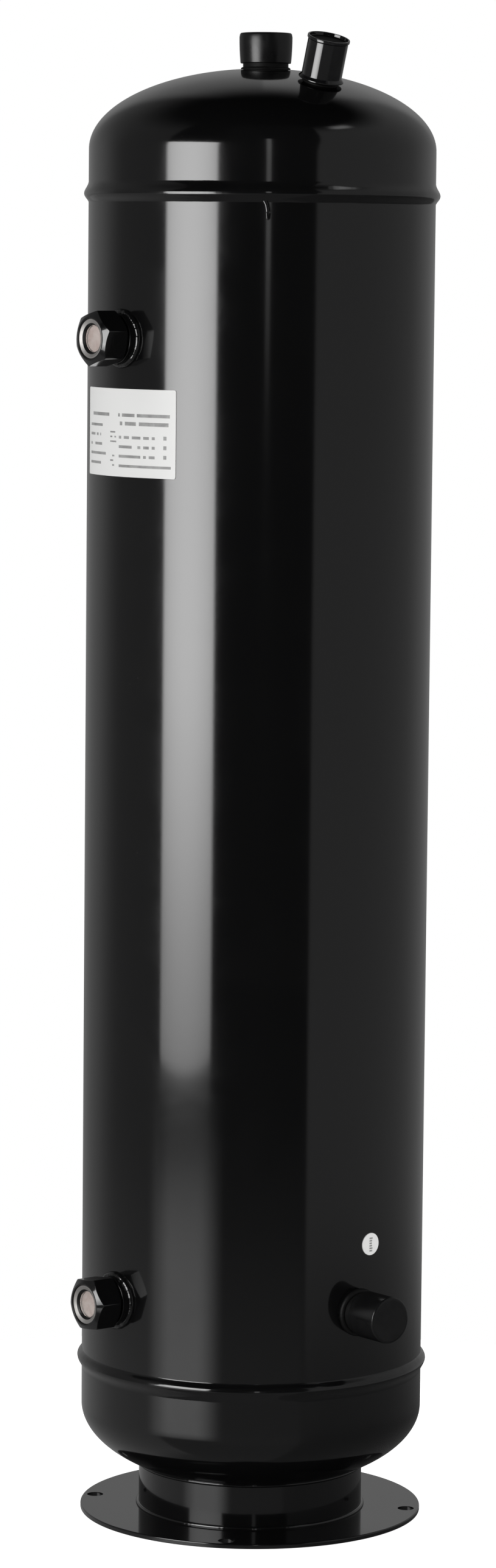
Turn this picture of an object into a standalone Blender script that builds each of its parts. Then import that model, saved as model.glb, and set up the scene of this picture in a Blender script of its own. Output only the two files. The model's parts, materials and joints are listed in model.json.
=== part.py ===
"""Vertical receiver tank: a welded steel vessel on a round foot, with screwed sight glasses and capped ports."""

import math

import bmesh
import bpy
from mathutils import Matrix, Vector

# Sizes are in millimetres and angles in degrees. The vessel's axis is +Z and the floor is z = 0.
# An azimuth is counted from -Y, the front, towards +X.
MM = 0.001
CLEAR = 0.3  # gap left between pieces that touch
BIG_SIDES = 48  # facets round the vessel and its foot
SMALL_SIDES = 24  # facets round a fitting
TUBE_SIDES = 16  # facets round the pickup tube
CORNER_STEPS = 3  # facets round a cap's edge
SHARP = 35.0  # an edge that turns by more than this is shaded sharp

# Vessel: a rolled shell and two dished heads
SHELL_OD = 219.0
WALL = 5.0
BODY_LENGTH = 743.6  # from seam to seam
TOP_STRAIGHT = 28.5  # cylindrical skirt of the top head
LOW_STRAIGHT = 30.3  # cylindrical skirt of the bottom head
HEAD_RISE = 51.0  # depth of the dished part, outside
HEAD_STEPS = 9

# Seam welds between shell and heads
BEAD_WIDTH = 9.0
BEAD_PROUD = 3.2
ROOT_GAP = 1.0
ROOT_LAND = 1.5
BEVEL = 30.0
BEAD_STEPS = 6

# Foot
PLATE_OD = 219.6
PLATE_T = 3.0
PLATE_EDGE = 0.5  # broken edge of the plate
BOLT_EDGE = 8.0  # from the plate's rim to the middle of a bolt hole
BOLT_HOLE = 10.5
BOLT_COUNT = 4
BOLT_AZIMUTH = -8.3
SKIRT_OD = 144.0
SKIRT_WALL = 4.0
SKIRT_HEIGHT = 28.3  # from the plate up to the head, at the skirt's outside
FOOT_LEG = 3.0  # leg of the plate's fillet weld
HEAD_LEG = 4.0  # leg of the head's fillet weld

# Inlet port on the crown of the top head, with a rubber cap
INLET_SIDE = 1.4  # from the vessel's axis towards +X
INLET_OD = 28.6
INLET_BORE = 20.0
INLET_STAND = 19.4  # above the crown
INLET_TAIL = 14.0  # below the crown
INLET_LEG = 1.5
INLET_CAP_WALL = 2.1
INLET_CAP_TOP = 2.6
INLET_CAP_GAP = 3.3  # from the crown up to the cap
INLET_CAP_BARREL = 0.8  # how much its foot draws in
INLET_CAP_ROUND = 3.0
INLET_CAP_CROWN = 0.2  # rise of its top in the middle
BARREL_STEPS = 3

# Relief port on the shoulder of the top head, square to its surface, with a flanged plastic cap
RELIEF_AZIMUTH = 34.0
RELIEF_RADIUS = 63.0  # from the vessel's axis to the middle of the port, on the head
RELIEF_OD = 20.6
RELIEF_BORE = 15.0
RELIEF_STAND = 25.1
RELIEF_TAIL = 11.0
RELIEF_LEG = 1.2
RELIEF_CAP_WALL = 2.0
RELIEF_CAP_TOP = 2.2
RELIEF_CAP_GAP = 1.5  # from the head up to the cap
RELIEF_CAP_LIP = 0.7  # how far the cap's top flange stands out
RELIEF_CAP_FOOT_LIP = 1.5  # how far its foot flange stands out
RELIEF_CAP_FLANGE = 1.7
RELIEF_CAP_SLOPE = 0.6  # of a flange's inner side
RELIEF_CAP_EDGE = 0.4
RELIEF_CAP_DISH = 0.8

# Outlet port near the foot, with a pickup tube inside and a rubber cap
OUTLET_AZIMUTH = 38.0
OUTLET_RISE = 46.7  # above the bottom seam
OUTLET_OD = 25.4
OUTLET_BORE = 16.0
OUTLET_STAND = 28.0  # out of the shell
OUTLET_TAIL = 10.0  # in from the shell's outside
OUTLET_LEG = 2.8
OUTLET_CAP_WALL = 1.8
OUTLET_CAP_TOP = 2.8
OUTLET_CAP_GAP = 7.0  # from the shell to the cap
OUTLET_CAP_ROUND = 1.6
PICKUP_WALL = 1.2
PICKUP_REACH = 60.0  # from the vessel's axis to the tube's upright leg
PICKUP_BEND = 24.0
PICKUP_BEND_STEPS = 6
PICKUP_FOOT_GAP = 10.0  # from the tube's end to the bottom head

# Sight glasses
GLASS_AZIMUTH = -52.0
UPPER_GLASS_DROP = 89.1  # below the top seam
LOWER_GLASS_RISE = 49.0  # above the bottom seam
BOSS_OD = 31.0
BOSS_STAND = 5.2
BOSS_TAIL = 9.5
BOSS_LEG = 3.2
BOSS_BORE = 15.0
SPIGOT_OD = 26.6
SPIGOT_LENGTH = 12.6
SEAL_T = 1.2
DISC_T = 1.0
DISC_HOLE = 2.6
LENS_OD = 16.6
LENS_T = 2.0
RING_FLANGE = 2.4
RING_NOSE = 2.2
RING_SLOPE = 1.0
NUT_AF = 31.0
NUT_CHAMFER = 30.0
NUT_FRONT = 27.0  # diameter of the flat left by the front chamfer
NUT_BACK = 30.4
NUT_LIP = 2.2
NUT_LIP_OPENING = 25.0
NUT_STANDOFF = 1.8  # from the boss to the nut
UPPER_NUT_TURN = -14.0  # of a flat from the level
LOWER_NUT_TURN = 36.0

# Label and sticker
LABEL_AZIMUTH = -52.5
LABEL_WIDTH = 92.7  # along the shell
LABEL_HEIGHT = 54.5
LABEL_DROP = 120.1  # from the top seam to the label's upper edge
LABEL_STEPS = 20
STICKER_AZIMUTH = 42.6
STICKER_OD = 14.0
STICKER_RISE = 89.2  # above the bottom seam
FOIL_T = 0.25

# Places that follow from the sizes above
SHELL_R = SHELL_OD / 2
SHELL_IN = SHELL_R - WALL
SKIRT_R = SKIRT_OD / 2
HEAD_IN_RISE = HEAD_RISE - WALL
LOW_TANGENT = PLATE_T + SKIRT_HEIGHT + HEAD_RISE * math.sqrt(1 - (SKIRT_R / SHELL_R) ** 2)
LOW_SEAM = LOW_TANGENT + LOW_STRAIGHT
TOP_SEAM = LOW_SEAM + BODY_LENGTH
TOP_TANGENT = TOP_SEAM + TOP_STRAIGHT
CROWN = TOP_TANGENT + HEAD_RISE
OUTLET_Z = LOW_SEAM + OUTLET_RISE
UPPER_GLASS_Z = TOP_SEAM - UPPER_GLASS_DROP
LOWER_GLASS_Z = LOW_SEAM + LOWER_GLASS_RISE
ROOT_HALF = ROOT_GAP / 2
GROOVE_HALF = ROOT_HALF + (WALL - ROOT_LAND) * math.tan(math.radians(BEVEL))
GROOVE_R = SHELL_IN + ROOT_LAND

BLACK_PAINT = ((0.010, 0.010, 0.011), 0.22, 0.0)
BLACK_RUBBER = ((0.018, 0.018, 0.019), 0.50, 0.0)
BLACK_PLASTIC = ((0.014, 0.014, 0.015), 0.28, 0.0)
BARE_STEEL = ((0.45, 0.44, 0.42), 0.38, 1.0)
COPPER = ((0.80, 0.52, 0.43), 0.30, 1.0)
NICKEL = ((0.70, 0.68, 0.66), 0.28, 1.0)
CLEAR_GLASS = ((0.90, 0.93, 0.92), 0.05, 0.0)
SEAL_WHITE = ((0.80, 0.79, 0.75), 0.55, 0.0)
LABEL_WHITE = ((0.86, 0.86, 0.85), 0.45, 0.0)


def clear_scene():
    for old in list(bpy.data.objects):
        bpy.data.objects.remove(old)


def finished(name, finish):
    """A material of the object's own."""
    colour, roughness, metallic = finish
    made = bpy.data.materials.new(name + "_finish")
    made.use_nodes = True
    shader = made.node_tree.nodes["Principled BSDF"]
    shader.inputs["Base Color"].default_value = (*colour, 1.0)
    shader.inputs["Roughness"].default_value = roughness
    shader.inputs["Metallic"].default_value = metallic
    return made


def place(name, shape, frame, finish):
    """Turns a bmesh in millimetres into an object whose origin and axes are those of frame."""
    bmesh.ops.recalc_face_normals(shape, faces=shape.faces)
    bmesh.ops.scale(shape, vec=(MM, MM, MM), verts=shape.verts)
    mesh = bpy.data.meshes.new(name)
    shape.to_mesh(mesh)
    shape.free()
    mesh.shade_smooth()
    mesh.set_sharp_from_angle(angle=math.radians(SHARP))
    made = bpy.data.objects.new(name, mesh)
    made.matrix_world = frame
    if finish:
        made.data.materials.append(finished(name, finish))
    bpy.context.scene.collection.objects.link(made)
    return made


def outward(azimuth):
    turn = math.radians(azimuth)
    return Vector((math.sin(turn), -math.cos(turn), 0.0))


def frame_of(anchor, azimuth, lean):
    """A frame at anchor whose Z leans from the vertical by lean, towards azimuth. Its X stays level."""
    tip = math.radians(lean)
    turn = math.radians(azimuth)
    axis = outward(azimuth) * math.sin(tip) + Vector((0, 0, math.cos(tip)))
    level = Vector((math.cos(turn), math.sin(turn), 0.0))
    turned = Matrix((level, axis.cross(level), axis)).transposed().to_4x4()
    return Matrix.Translation(Vector(anchor) * MM) @ turned


UPRIGHT = Matrix.Identity(4)


def lathe(name, stations, sides, finish, frame=UPRIGHT):
    """Turns stations round Z. A station is (radius, height), or a rule that gives both for an angle.

    The list closes on itself, or starts and ends on the axis.
    """
    shape = bmesh.new()
    rings = []
    for station in stations:
        ring = []
        for side in range(sides):
            angle = 2 * math.pi * side / sides
            radius, height = station(angle) if callable(station) else station
            if radius == 0:
                ring = [shape.verts.new((0, 0, height))] * sides
                break
            ring.append(shape.verts.new((radius * math.cos(angle), radius * math.sin(angle), height)))
        rings.append(ring)
    on_axis = rings[0][0] is rings[0][1]
    pairs = list(zip(rings, rings[1:])) + ([] if on_axis else [(rings[-1], rings[0])])
    for lower, upper in pairs:
        for side in range(sides):
            after = (side + 1) % sides
            corners = []
            for corner in (lower[side], lower[after], upper[after], upper[side]):
                if corner not in corners:
                    corners.append(corner)
            if len(corners) > 2:
                shape.faces.new(corners)
    return place(name, shape, frame, finish)


def tube_stations(inner, outer, low, high):
    return [(inner, low), (outer, low), (outer, high), (inner, high)]


def subtract(target, cutter):
    cut = target.modifiers.new("cut_" + cutter.name, "BOOLEAN")
    cut.operation = "DIFFERENCE"
    cut.solver = "EXACT"
    cut.object = cutter
    cutter.hide_render = True
    cutter.display_type = "WIRE"


def drill(target, name, frame, radius, low, high):
    rod = [(0, low), (radius, low), (radius, high), (0, high)]
    subtract(target, lathe(name, rod, SMALL_SIDES, None, frame))


def head_height(radius, rise, outer):
    """Height of a dished head above its tangent line."""
    return rise * math.sqrt(1 - (radius / outer) ** 2)


def dish(outer, rise, straight):
    """Points on a dished head from its crown out to its tangent line, standing on its seam at height 0."""
    points = []
    for step in range(HEAD_STEPS + 1):
        angle = math.pi / 2 * step / HEAD_STEPS
        points.append((outer * math.sin(angle), straight + rise * math.cos(angle)))
    return points


def head_stations(seam, side, straight):
    """A head on its seam. side is 1 for one that rises from it, -1 for one that hangs."""
    edge = [(SHELL_R, GROOVE_HALF), (GROOVE_R, ROOT_HALF), (SHELL_IN, ROOT_HALF)]
    around = dish(SHELL_R, HEAD_RISE, straight) + edge + dish(SHELL_IN, HEAD_IN_RISE, straight)[::-1]
    return [(radius, seam + side * height) for radius, height in around]


def build_vessel():
    shell = [
        (SHELL_IN, LOW_SEAM + ROOT_HALF),
        (GROOVE_R, LOW_SEAM + ROOT_HALF),
        (SHELL_R, LOW_SEAM + GROOVE_HALF),
        (SHELL_R, TOP_SEAM - GROOVE_HALF),
        (GROOVE_R, TOP_SEAM - ROOT_HALF),
        (SHELL_IN, TOP_SEAM - ROOT_HALF),
    ]
    tube = lathe("shell_tube", shell, BIG_SIDES, BLACK_PAINT)
    top = lathe("top_head", head_stations(TOP_SEAM, 1, TOP_STRAIGHT), BIG_SIDES, BLACK_PAINT)
    lathe("bottom_head", head_stations(LOW_SEAM, -1, LOW_STRAIGHT), BIG_SIDES, BLACK_PAINT)
    return tube, top


def bead_stations(seam):
    """A seam weld: a crown over both edges and a root in the groove between them."""
    crown_base = SHELL_R + CLEAR
    crown = []
    for step in range(BEAD_STEPS + 1):
        angle = math.pi * (step / BEAD_STEPS - 0.5)
        height = seam + BEAD_WIDTH / 2 * math.sin(angle)
        crown.append((crown_base + (BEAD_PROUD - CLEAR) * math.cos(angle), height))
    slant = CLEAR / math.cos(math.radians(BEVEL))
    mouth = GROOVE_HALF - slant
    root = ROOT_HALF - slant
    groove = [(crown_base, mouth), (GROOVE_R, root), (GROOVE_R, -root), (crown_base, -mouth)]
    return crown + [(radius, seam + height) for radius, height in groove]


def build_seams():
    lathe("top_seam_weld", bead_stations(TOP_SEAM), BIG_SIDES, BLACK_PAINT)
    lathe("bottom_seam_weld", bead_stations(LOW_SEAM), BIG_SIDES, BLACK_PAINT)


def under_head(radius):
    """Height of the bottom head's outside."""
    return LOW_TANGENT - head_height(radius, HEAD_RISE, SHELL_R)


def build_foot():
    edge = PLATE_OD / 2
    plate = [
        (0, 0),
        (edge - PLATE_EDGE, 0),
        (edge, PLATE_EDGE),
        (edge, PLATE_T - PLATE_EDGE),
        (edge - PLATE_EDGE, PLATE_T),
        (0, PLATE_T),
    ]
    base = lathe("base_plate", plate, BIG_SIDES, BLACK_PAINT)
    for number in range(BOLT_COUNT):
        middle = outward(BOLT_AZIMUTH + 360 * number / BOLT_COUNT) * (edge - BOLT_EDGE)
        drill(base, f"bolt_hole_{number}", frame_of(middle, 0, 0), BOLT_HOLE / 2, -PLATE_T, 2 * PLATE_T)
    inner = SKIRT_R - SKIRT_WALL
    foot = PLATE_T + CLEAR
    ring = [
        (inner, foot),
        (SKIRT_R, foot),
        (SKIRT_R, under_head(SKIRT_R) - CLEAR),
        (inner, under_head(inner) - CLEAR),
    ]
    lathe("base_skirt", ring, BIG_SIDES, BLACK_PAINT)
    near = SKIRT_R + CLEAR
    foot_weld = [
        (near, foot),
        (SKIRT_R + FOOT_LEG, foot),
        (near, PLATE_T + FOOT_LEG),
    ]
    lathe("skirt_foot_weld", foot_weld, BIG_SIDES, BLACK_PAINT)
    far = SKIRT_R + HEAD_LEG
    head_weld = [
        (near, under_head(SKIRT_R) - HEAD_LEG),
        (far, under_head(far) - CLEAR),
        (near, under_head(near) - CLEAR),
    ]
    lathe("skirt_head_weld", head_weld, BIG_SIDES, BLACK_PAINT)


def over_shell(radius):
    """Rule for the shell's outside round a side fitting, measured along the fitting from the vessel's axis."""
    return lambda angle: math.sqrt(SHELL_R**2 - (radius * math.cos(angle)) ** 2)


def over_head(frame, radius):
    """Rule for the top head's outside round a fitting, measured along the fitting from its anchor."""

    def height(angle):
        start = frame @ Vector((radius * math.cos(angle) * MM, radius * math.sin(angle) * MM, 0)) / MM
        along = frame.to_3x3() @ Vector((0, 0, 1))
        start.z -= TOP_TANGENT
        weigh = Vector((1 / SHELL_R, 1 / SHELL_R, 1 / HEAD_RISE))
        origin = start * weigh
        course = along * weigh
        half = origin.dot(course)
        reach = course.dot(course)
        return (math.sqrt(half**2 - reach * (origin.dot(origin) - 1)) - half) / reach

    return height


def port_weld(name, radius, leg, surface, frame):
    """A fillet weld round a fitting. surface(radius) is the rule for the wall that it stands on."""
    near = radius + CLEAR
    far = radius + leg
    at_near, at_far = surface(near), surface(far)
    stations = [
        lambda angle: (near, at_near(angle) + CLEAR),
        lambda angle: (far, at_far(angle) + CLEAR),
        lambda angle: (near, at_near(angle) + CLEAR + leg),
    ]
    lathe(name, stations, SMALL_SIDES, BLACK_PAINT, frame)


def corner(radius, top, round_off):
    """Points round the edge of a cap, from its side to its top."""
    points = []
    for step in range(CORNER_STEPS + 1):
        angle = math.pi / 2 * step / CORNER_STEPS
        points.append((radius - round_off * (1 - math.cos(angle)), top - round_off * (1 - math.sin(angle))))
    return points


def build_inlet(top_head):
    frame = frame_of((INLET_SIDE, 0, CROWN), 0, 0)
    outer = INLET_OD / 2
    stub = tube_stations(INLET_BORE / 2, outer, -INLET_TAIL, INLET_STAND)
    lathe("inlet_stub", stub, SMALL_SIDES, BARE_STEEL, frame)
    drill(top_head, "inlet_hole", frame, outer + CLEAR, -4 * WALL, 2 * WALL)
    port_weld("inlet_weld", outer, INLET_LEG, lambda radius: over_head(frame, radius), frame)
    inner = outer + CLEAR
    skin = inner + INLET_CAP_WALL
    seat = INLET_STAND + CLEAR
    foot = INLET_CAP_GAP
    top = seat + INLET_CAP_TOP
    cap = [(0, seat), (inner, seat), (inner, foot)]
    for step in range(BARREL_STEPS):
        share = step / BARREL_STEPS
        height = foot + share * (top - INLET_CAP_ROUND - foot)
        cap.append((skin - INLET_CAP_BARREL * (1 - share) ** 2, height))
    cap += corner(skin, top, INLET_CAP_ROUND) + [(0, top + INLET_CAP_CROWN)]
    lathe("inlet_cap", cap, SMALL_SIDES, BLACK_RUBBER, frame)


def relief_frame():
    """On the top head's outside at RELIEF_RADIUS, square to it."""
    height = head_height(RELIEF_RADIUS, HEAD_RISE, SHELL_R)
    anchor = outward(RELIEF_AZIMUTH) * RELIEF_RADIUS + Vector((0, 0, TOP_TANGENT + height))
    lean = math.degrees(math.atan2(RELIEF_RADIUS / SHELL_R**2, height / HEAD_RISE**2))
    return frame_of(anchor, RELIEF_AZIMUTH, lean)


def build_relief(top_head):
    frame = relief_frame()
    outer = RELIEF_OD / 2
    stub = tube_stations(RELIEF_BORE / 2, outer, -RELIEF_TAIL, RELIEF_STAND)
    lathe("relief_stub", stub, SMALL_SIDES, BARE_STEEL, frame)
    drill(top_head, "relief_hole", frame, outer + CLEAR, -4 * WALL, 2 * WALL)
    port_weld("relief_weld", outer, RELIEF_LEG, lambda radius: over_head(frame, radius), frame)
    inner = outer + CLEAR
    skin = inner + RELIEF_CAP_WALL
    flange = skin + RELIEF_CAP_LIP
    foot_flange = skin + RELIEF_CAP_FOOT_LIP
    seat = RELIEF_STAND + CLEAR
    top = seat + RELIEF_CAP_TOP + RELIEF_CAP_DISH
    foot = RELIEF_CAP_GAP
    cap = [
        (0, seat),
        (inner, seat),
        (inner, foot),
        (foot_flange, foot),
        (foot_flange, foot + RELIEF_CAP_FLANGE),
        (skin, foot + RELIEF_CAP_FLANGE + RELIEF_CAP_SLOPE),
        (skin, top - RELIEF_CAP_FLANGE - RELIEF_CAP_SLOPE),
        (flange, top - RELIEF_CAP_FLANGE),
        (flange, top - RELIEF_CAP_EDGE),
        (flange - RELIEF_CAP_EDGE, top),
        (skin - RELIEF_CAP_EDGE, top),
        (skin - 2 * RELIEF_CAP_EDGE, top - RELIEF_CAP_DISH),
        (0, top - RELIEF_CAP_DISH),
    ]
    lathe("relief_cap", cap, SMALL_SIDES, BLACK_PLASTIC, frame)


def bent_tube(name, course, outer, inner, finish, frame):
    """A tube along course, whose points are (middle, direction) with all of them in the frame's YZ plane."""
    shape = bmesh.new()
    level = Vector((1, 0, 0))
    skins = []
    for radius in (outer, inner):
        rings = []
        for middle, along in course:
            across = along.cross(level)
            ring = []
            for side in range(TUBE_SIDES):
                angle = 2 * math.pi * side / TUBE_SIDES
                offset = level * math.cos(angle) + across * math.sin(angle)
                ring.append(shape.verts.new(middle + offset * radius))
            rings.append(ring)
        skins.append(rings)
    outside, inside = skins
    walls = list(zip(outside, outside[1:])) + list(zip(inside, inside[1:]))
    ends = [(outside[0], inside[0]), (outside[-1], inside[-1])]
    for near, far in walls + ends:
        for side in range(TUBE_SIDES):
            after = (side + 1) % TUBE_SIDES
            shape.faces.new((near[side], near[after], far[after], far[side]))
    return place(name, shape, frame, finish)


def pickup_course():
    """From the outlet's bore towards the vessel's axis, round a bend and down to the bottom head."""
    inward = Vector((0, 0, -1))
    down = Vector((0, -1, 0))
    turn_z = PICKUP_REACH + PICKUP_BEND
    course = [(Vector((0, 0, SHELL_R)), inward)]
    for step in range(PICKUP_BEND_STEPS + 1):
        angle = math.pi / 2 * step / PICKUP_BEND_STEPS
        drop = PICKUP_BEND * (1 - math.cos(angle))
        middle = Vector((0, -drop, turn_z - PICKUP_BEND * math.sin(angle)))
        course.append((middle, inward * math.cos(angle) + down * math.sin(angle)))
    floor = LOW_TANGENT - head_height(PICKUP_REACH, HEAD_IN_RISE, SHELL_IN)
    course.append((Vector((0, floor + PICKUP_FOOT_GAP - OUTLET_Z, PICKUP_REACH)), down))
    return course


def build_outlet(shell):
    frame = frame_of((0, 0, OUTLET_Z), OUTLET_AZIMUTH, 90)
    outer = OUTLET_OD / 2
    end = SHELL_R + OUTLET_STAND
    stub = tube_stations(OUTLET_BORE / 2, outer, SHELL_R - OUTLET_TAIL, end)
    lathe("outlet_stub", stub, SMALL_SIDES, BARE_STEEL, frame)
    drill(shell, "outlet_hole", frame, outer + CLEAR, SHELL_R - 4 * WALL, SHELL_R + 2 * WALL)
    port_weld("outlet_weld", outer, OUTLET_LEG, over_shell, frame)
    inner = outer + CLEAR
    skin = inner + OUTLET_CAP_WALL
    seat = end + CLEAR
    top = seat + OUTLET_CAP_TOP
    foot = SHELL_R + OUTLET_CAP_GAP
    cap = [(0, seat), (inner, seat), (inner, foot), (skin, foot)]
    cap += corner(skin, top, OUTLET_CAP_ROUND) + [(0, top)]
    lathe("outlet_cap", cap, SMALL_SIDES, BLACK_RUBBER, frame)
    pipe = OUTLET_BORE / 2 - CLEAR
    bent_tube("pickup_tube", pickup_course(), pipe, pipe - PICKUP_WALL, BARE_STEEL, frame)


def hex_rule(face, height, side):
    """Rule for a hexagon's corners behind a chamfered face at height. side is 1 for an upper face, -1 for a lower."""

    def rule(angle):
        off_flat = (angle + math.pi / 6) % (math.pi / 3) - math.pi / 6
        radius = NUT_AF / 2 / math.cos(off_flat)
        drop = (radius - face) * math.tan(math.radians(NUT_CHAMFER))
        return radius, height - side * drop

    return rule


def build_glass(name, height, turn, shell):
    """A weld-in boss with a threaded spigot, and a window that a nut holds on it."""
    frame = frame_of((0, 0, height), GLASS_AZIMUTH, 90)
    boss_end = SHELL_R + BOSS_STAND
    spigot_end = boss_end + SPIGOT_LENGTH
    boss = [
        (BOSS_BORE / 2, SHELL_R - BOSS_TAIL),
        (BOSS_OD / 2, SHELL_R - BOSS_TAIL),
        (BOSS_OD / 2, boss_end),
        (SPIGOT_OD / 2, boss_end),
        (SPIGOT_OD / 2, spigot_end),
        (BOSS_BORE / 2, spigot_end),
    ]
    lathe(name + "_boss", boss, SMALL_SIDES, BLACK_PAINT, frame)
    drill(shell, name + "_hole", frame, BOSS_OD / 2 + CLEAR, SHELL_R - 4 * WALL, SHELL_R + 2 * WALL)
    port_weld(name + "_boss_weld", BOSS_OD / 2, BOSS_LEG, over_shell, frame)

    lens = LENS_OD / 2
    seat = lens + CLEAR
    rim = SPIGOT_OD / 2 - CLEAR / 2
    seal_low = spigot_end + CLEAR
    seal_high = seal_low + SEAL_T
    seal = tube_stations(seat, rim, seal_low, seal_high)
    lathe(name + "_seal", seal, SMALL_SIDES, SEAL_WHITE, frame)
    disc = tube_stations(DISC_HOLE / 2, lens, seal_low, seal_low + DISC_T)
    lathe(name + "_disc", disc, SMALL_SIDES, COPPER, frame)

    ring_low = seal_high + CLEAR
    flange_high = ring_low + RING_FLANGE
    nose_high = flange_high + RING_NOSE
    nose = NUT_LIP_OPENING / 2 - CLEAR
    glass = [(0, ring_low), (lens, ring_low), (lens, ring_low + LENS_T), (0, ring_low + LENS_T)]
    lathe(name + "_lens", glass, SMALL_SIDES, CLEAR_GLASS, frame)
    ring = [
        (seat, ring_low),
        (rim, ring_low),
        (rim, flange_high),
        (nose, flange_high),
        (nose, nose_high - RING_SLOPE / 2),
        (nose - RING_SLOPE / 2, nose_high),
        (seat + RING_SLOPE, nose_high - RING_SLOPE),
        (seat, nose_high - 2 * RING_SLOPE),
    ]
    lathe(name + "_ring", ring, SMALL_SIDES, NICKEL, frame)

    thread = SPIGOT_OD / 2 + CLEAR
    nut_low = boss_end + NUT_STANDOFF
    lip_low = flange_high + CLEAR
    nut_high = lip_low + NUT_LIP
    nut = [
        (thread, nut_low),
        (NUT_BACK / 2, nut_low),
        hex_rule(NUT_BACK / 2, nut_low, -1),
        hex_rule(NUT_FRONT / 2, nut_high, 1),
        (NUT_FRONT / 2, nut_high),
        (NUT_LIP_OPENING / 2, nut_high),
        (NUT_LIP_OPENING / 2, lip_low),
        (thread, lip_low),
    ]
    turned = frame @ Matrix.Rotation(math.radians(turn), 4, "Z")
    lathe(name + "_nut", nut, SMALL_SIDES, BLACK_PAINT, turned)


def wrapped(points, azimuth, height):
    """The back and front corners of a thin foil on the shell. points are (along, up) in its own plane."""
    shape = bmesh.new()
    skins = []
    for radius in (SHELL_R + CLEAR, SHELL_R + CLEAR + FOIL_T):
        skin = []
        for along, up in points:
            turn = azimuth + math.degrees(along / SHELL_R)
            skin.append(shape.verts.new(outward(turn) * radius + Vector((0, 0, height + up))))
        skins.append(skin)
    return shape, skins


def build_label():
    half = LABEL_HEIGHT / 2
    lower = []
    for step in range(LABEL_STEPS + 1):
        lower.append((LABEL_WIDTH * (step / LABEL_STEPS - 0.5), -half))
    upper = [(along, half) for along, _ in lower]
    height = TOP_SEAM - LABEL_DROP - half
    shape, skins = wrapped(lower + upper, LABEL_AZIMUTH, height)
    count = LABEL_STEPS + 1
    back, front = skins
    for step in range(LABEL_STEPS):
        low, high = step, count + step
        for skin in skins:
            shape.faces.new((skin[low], skin[low + 1], skin[high + 1], skin[high]))
        for at in (low, high):
            shape.faces.new((back[at], back[at + 1], front[at + 1], front[at]))
    for at in (0, LABEL_STEPS):
        shape.faces.new((back[at], back[count + at], front[count + at], front[at]))
    place("name_label", shape, UPRIGHT, LABEL_WHITE)


def build_sticker():
    rim = []
    for side in range(SMALL_SIDES):
        angle = 2 * math.pi * side / SMALL_SIDES
        rim.append((STICKER_OD / 2 * math.cos(angle), STICKER_OD / 2 * math.sin(angle)))
    height = LOW_SEAM + STICKER_RISE
    shape, skins = wrapped(rim + [(0, 0)], STICKER_AZIMUTH, height)
    back, front = skins
    for side in range(SMALL_SIDES):
        after = (side + 1) % SMALL_SIDES
        for skin in skins:
            shape.faces.new((skin[side], skin[after], skin[-1]))
        shape.faces.new((back[side], back[after], front[after], front[side]))
    place("round_sticker", shape, UPRIGHT, LABEL_WHITE)


def main():
    clear_scene()
    shell, top_head = build_vessel()
    build_seams()
    build_foot()
    build_inlet(top_head)
    build_relief(top_head)
    build_outlet(shell)
    build_glass("upper_glass", UPPER_GLASS_Z, UPPER_NUT_TURN, shell)
    build_glass("lower_glass", LOWER_GLASS_Z, LOWER_NUT_TURN, shell)
    build_label()
    build_sticker()


main()
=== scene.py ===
# %% [markdown]
# # A welded receiver tank in black enamel
# The tank is a steel vessel that stands upright on a round foot. A rolled shell is closed by two dished
# heads, and ring welds join the three. Two sight glasses are screwed on at the left, and three ports wear
# caps for the journey. This lesson loads the measured solids, then makes a finer piece for each one that
# shows, with its own finish.

# %% Load the measured tank
import json
import math

import bmesh
import bpy
from mathutils import Matrix, Vector


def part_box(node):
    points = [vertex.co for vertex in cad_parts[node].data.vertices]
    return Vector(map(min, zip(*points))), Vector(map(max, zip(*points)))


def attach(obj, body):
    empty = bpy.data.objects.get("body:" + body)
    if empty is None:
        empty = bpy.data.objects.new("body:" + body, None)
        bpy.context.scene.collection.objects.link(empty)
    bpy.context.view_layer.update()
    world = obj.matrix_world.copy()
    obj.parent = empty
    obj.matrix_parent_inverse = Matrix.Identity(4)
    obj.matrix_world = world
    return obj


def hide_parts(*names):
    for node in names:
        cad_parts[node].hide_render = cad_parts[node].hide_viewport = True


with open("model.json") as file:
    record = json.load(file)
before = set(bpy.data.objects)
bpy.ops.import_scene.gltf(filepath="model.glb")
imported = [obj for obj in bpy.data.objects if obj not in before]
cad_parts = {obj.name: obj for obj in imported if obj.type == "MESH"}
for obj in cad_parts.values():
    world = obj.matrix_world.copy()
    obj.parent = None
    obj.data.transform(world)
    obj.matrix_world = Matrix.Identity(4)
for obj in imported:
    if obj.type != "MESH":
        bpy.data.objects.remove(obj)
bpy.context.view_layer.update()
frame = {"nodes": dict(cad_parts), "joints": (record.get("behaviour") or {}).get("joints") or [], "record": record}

scene = bpy.context.scene

# %% [markdown]
# ## The main sizes
# Blender works in metres, but a maker thinks of a tank in millimetres, so shapes are drawn in millimetres
# and scaled when they are placed. The large sizes could be typed in again. They are read from the solids'
# boxes instead, so that the finer pieces stay on the solids. An azimuth is an angle round the tank, from the
# front towards the right.

# %% Read the main sizes from the solids
MM = 0.001


def low_high(node):
    """The lowest and highest corners of a solid, in millimetres."""
    low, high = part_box(node)
    return low / MM, high / MM


def middle(node):
    low, high = low_high(node)
    return (low + high) / 2


SHELL_R = low_high("shell_tube")[1].x
TOP_SEAM = middle("top_seam_weld").z
LOW_SEAM = middle("bottom_seam_weld").z
HEAD_RISE = 51.0
TOP_STRAIGHT = 28.5
TOP_TANGENT = TOP_SEAM + TOP_STRAIGHT
LOW_TANGENT = low_high("bottom_head")[0].z + HEAD_RISE
WALL = 5.0
print(f"shell radius {SHELL_R:.1f}, seams at {LOW_SEAM:.1f} and {TOP_SEAM:.1f}")
print(f"dished from {LOW_TANGENT:.1f} down and from {TOP_TANGENT:.1f} up")

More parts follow.
